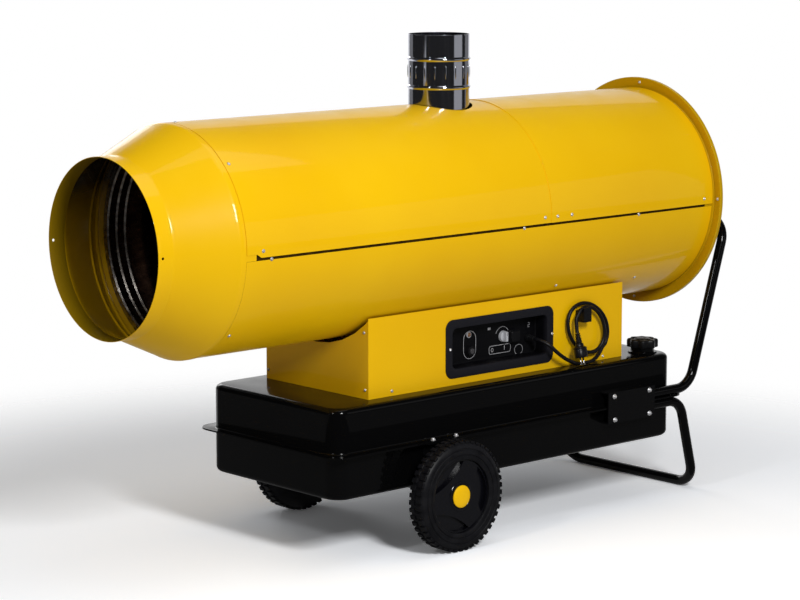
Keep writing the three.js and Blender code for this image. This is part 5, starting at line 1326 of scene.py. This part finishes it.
# Studio
# A pale floor that fades into the white background, and two softboxes, about 30 degrees to each side of the
# camera, with broad weak ones overhead and behind. Cards that only reflections see stand for the dark studio.
floor_radius = 9.0
floor = skinned("studio_floor", [
    [(reach * math.cos(2 * math.pi * i / 96), reach * math.sin(2 * math.pi * i / 96), 0) for i in range(96)]
    for reach in (0.001, floor_radius)
])
floor_paint = bpy.data.materials.new("studio_floor")
floor_paint.use_nodes = True
paint = floor_paint.node_tree
paint.nodes.remove(paint.nodes["Principled BSDF"])
floor_shown = wired(paint, "ShaderNodeAddShader", {
    0: wired(paint, "ShaderNodeBsdfDiffuse", {"Color": (1.42, 1.45, 1.5, 1)}),
    1: wired(paint, "ShaderNodeEmission", {"Strength": 0.035}),
})
floor_colour = wired(paint, "ShaderNodeMixShader", {
    0: wired(paint, "ShaderNodeLightPath", out="Is Camera Ray"),
    1: wired(paint, "ShaderNodeBsdfDiffuse", {"Color": (0.8, 0.8, 0.8, 1)}),
    2: floor_shown,
})
floor_reach = wired(paint, "ShaderNodeVectorMath", {
    0: wired(paint, "ShaderNodeTexCoord", out="Object"),
}, "Value", operation="LENGTH")
floor_fade = wired(paint, "ShaderNodeMapRange", {
    "Value": floor_reach, "From Min": 1.1, "From Max": 2.2,
}, interpolation_type="SMOOTHSTEP")
floor_mix = wired(paint, "ShaderNodeMixShader", {
    0: floor_fade, 1: floor_colour, 2: wired(paint, "ShaderNodeBsdfTransparent"),
})
paint.links.new(floor_mix, paint.nodes["Material Output"].inputs["Surface"])
floor.data.materials.append(floor_paint)
camera_bearing = math.degrees(math.atan2(camera.location.y, camera.location.x))


def card_point(reach, bearing, z):
    """A place round the machine, with its bearing counted to the right of the camera"""
    turn = math.radians(camera_bearing + bearing)
    return (reach * math.cos(turn), reach * math.sin(turn), z)


def reflected_card(name, brightness, rings):
    """A card that lights nothing and that only reflections see"""
    card = skinned(name, rings, shut_round=False)
    paint = bpy.data.materials.new(name)
    paint.use_nodes = True
    paint.cycles.emission_sampling = "NONE"
    shader = paint.node_tree.nodes["Principled BSDF"].inputs
    shader["Base Color"].default_value = (0, 0, 0, 1)
    shader["Specular IOR Level"].default_value = 0
    shader["Emission Color"].default_value = (1, 1, 1, 1)
    shader["Emission Strength"].default_value = brightness
    card.data.materials.append(paint)
    card.visible_camera = False
    card.visible_diffuse = False
    card.visible_shadow = False
    card.visible_transmission = False


def dome_card(name, brightness, bearings, rises):
    """A reflected card on a dome round the machine, over bearings and rises in degrees"""
    reflected_card(name, brightness, [
        [card_point(dome_reach * math.cos(rise), bearing, dome_reach * math.sin(rise)) for bearing in bearings]
        for rise in map(math.radians, rises)
    ])


dome_reach = 6.0
wall_rises = (0, 10, 20, 30, 40)
dark_bearings = range(-115, 125, 10)
dome_card("dark_wall", 0.02, dark_bearings, wall_rises)
dome_card("grey_wall_left", 0.22, (-115, -125, -135, -145), wall_rises)
dome_card("grey_wall_right", 0.22, (115, 125, 135, 145), wall_rises)
dome_card("dark_sky", 0.02, range(0, 370, 10), (40, 50, 60, 70, 80, 89.9))
reflected_card("dark_floor", 0.13, [
    [card_point(reach, bearing, 0.0008) for bearing in dark_bearings] for reach in (0.01, dome_reach)
])
reflected_card("right_reflector", 0.42, [
    [card_point(3.0, bearing, z) for bearing in (60, 70, 80, 90, 97)] for z in (0.62, 1.7)
])
reflected_card("left_reflector", 0.4, [
    [card_point(3.0, bearing, z) for bearing in bearings]
    for z, bearings in ((1.02, (-49, -48)), (0.96, (-54, -48)), (0.9, (-59, -48)), (0.7, (-59, -48)))
])
for name, place, aim, width, height, power in (
    ("right_softbox", (-1.07, -3.12, 2.4), (-0.2, 0, 0.6), 0.6, 0.9, 82),
    ("left_softbox", (-3.33, -0.82, 2.4), (-0.3, 0, 0.6), 0.3, 0.4, 12),
    ("rear_softbox", (1.2, 4.4, 2.2), (0, 0, 0.7), 1.8, 1.4, 22),
    ("overhead_softbox", (0.2, -0.4, 3.4), (0.1, 0, 0.6), 2.4, 1.6, 12),
):
    lamp = bpy.data.lights.new(name, "AREA")
    lamp.shape = "RECTANGLE"
    lamp.size = width
    lamp.size_y = height
    lamp.energy = power
    softbox = bpy.data.objects.new(name, lamp)
    softbox.location = place
    softbox.rotation_euler = (Vector(aim) - Vector(place)).to_track_quat("-Z", "Y").to_euler()
    scene.collection.objects.link(softbox)
world = bpy.data.worlds.new("studio_world")
scene.world = world
world.use_nodes = True
sky = world.node_tree
fill = sky.nodes["Background"]
fill.inputs["Color"].default_value = (1, 1, 1, 1)
fill.inputs["Strength"].default_value = 0.2
rays = sky.nodes.new("ShaderNodeLightPath").outputs
seen = rays["Is Camera Ray"]
for ray in ("Is Glossy Ray", "Is Transmission Ray"):
    seen = wired(sky, "ShaderNodeMath", {0: seen, 1: rays[ray]}, operation="MAXIMUM")
backdrop = wired(sky, "ShaderNodeBackground", {"Color": (1, 1, 1, 1), "Strength": 1.0})
world_mix = wired(sky, "ShaderNodeMixShader", {0: seen, 1: fill.outputs["Background"], 2: backdrop})
sky.links.new(world_mix, sky.nodes["World Output"].inputs["Surface"])
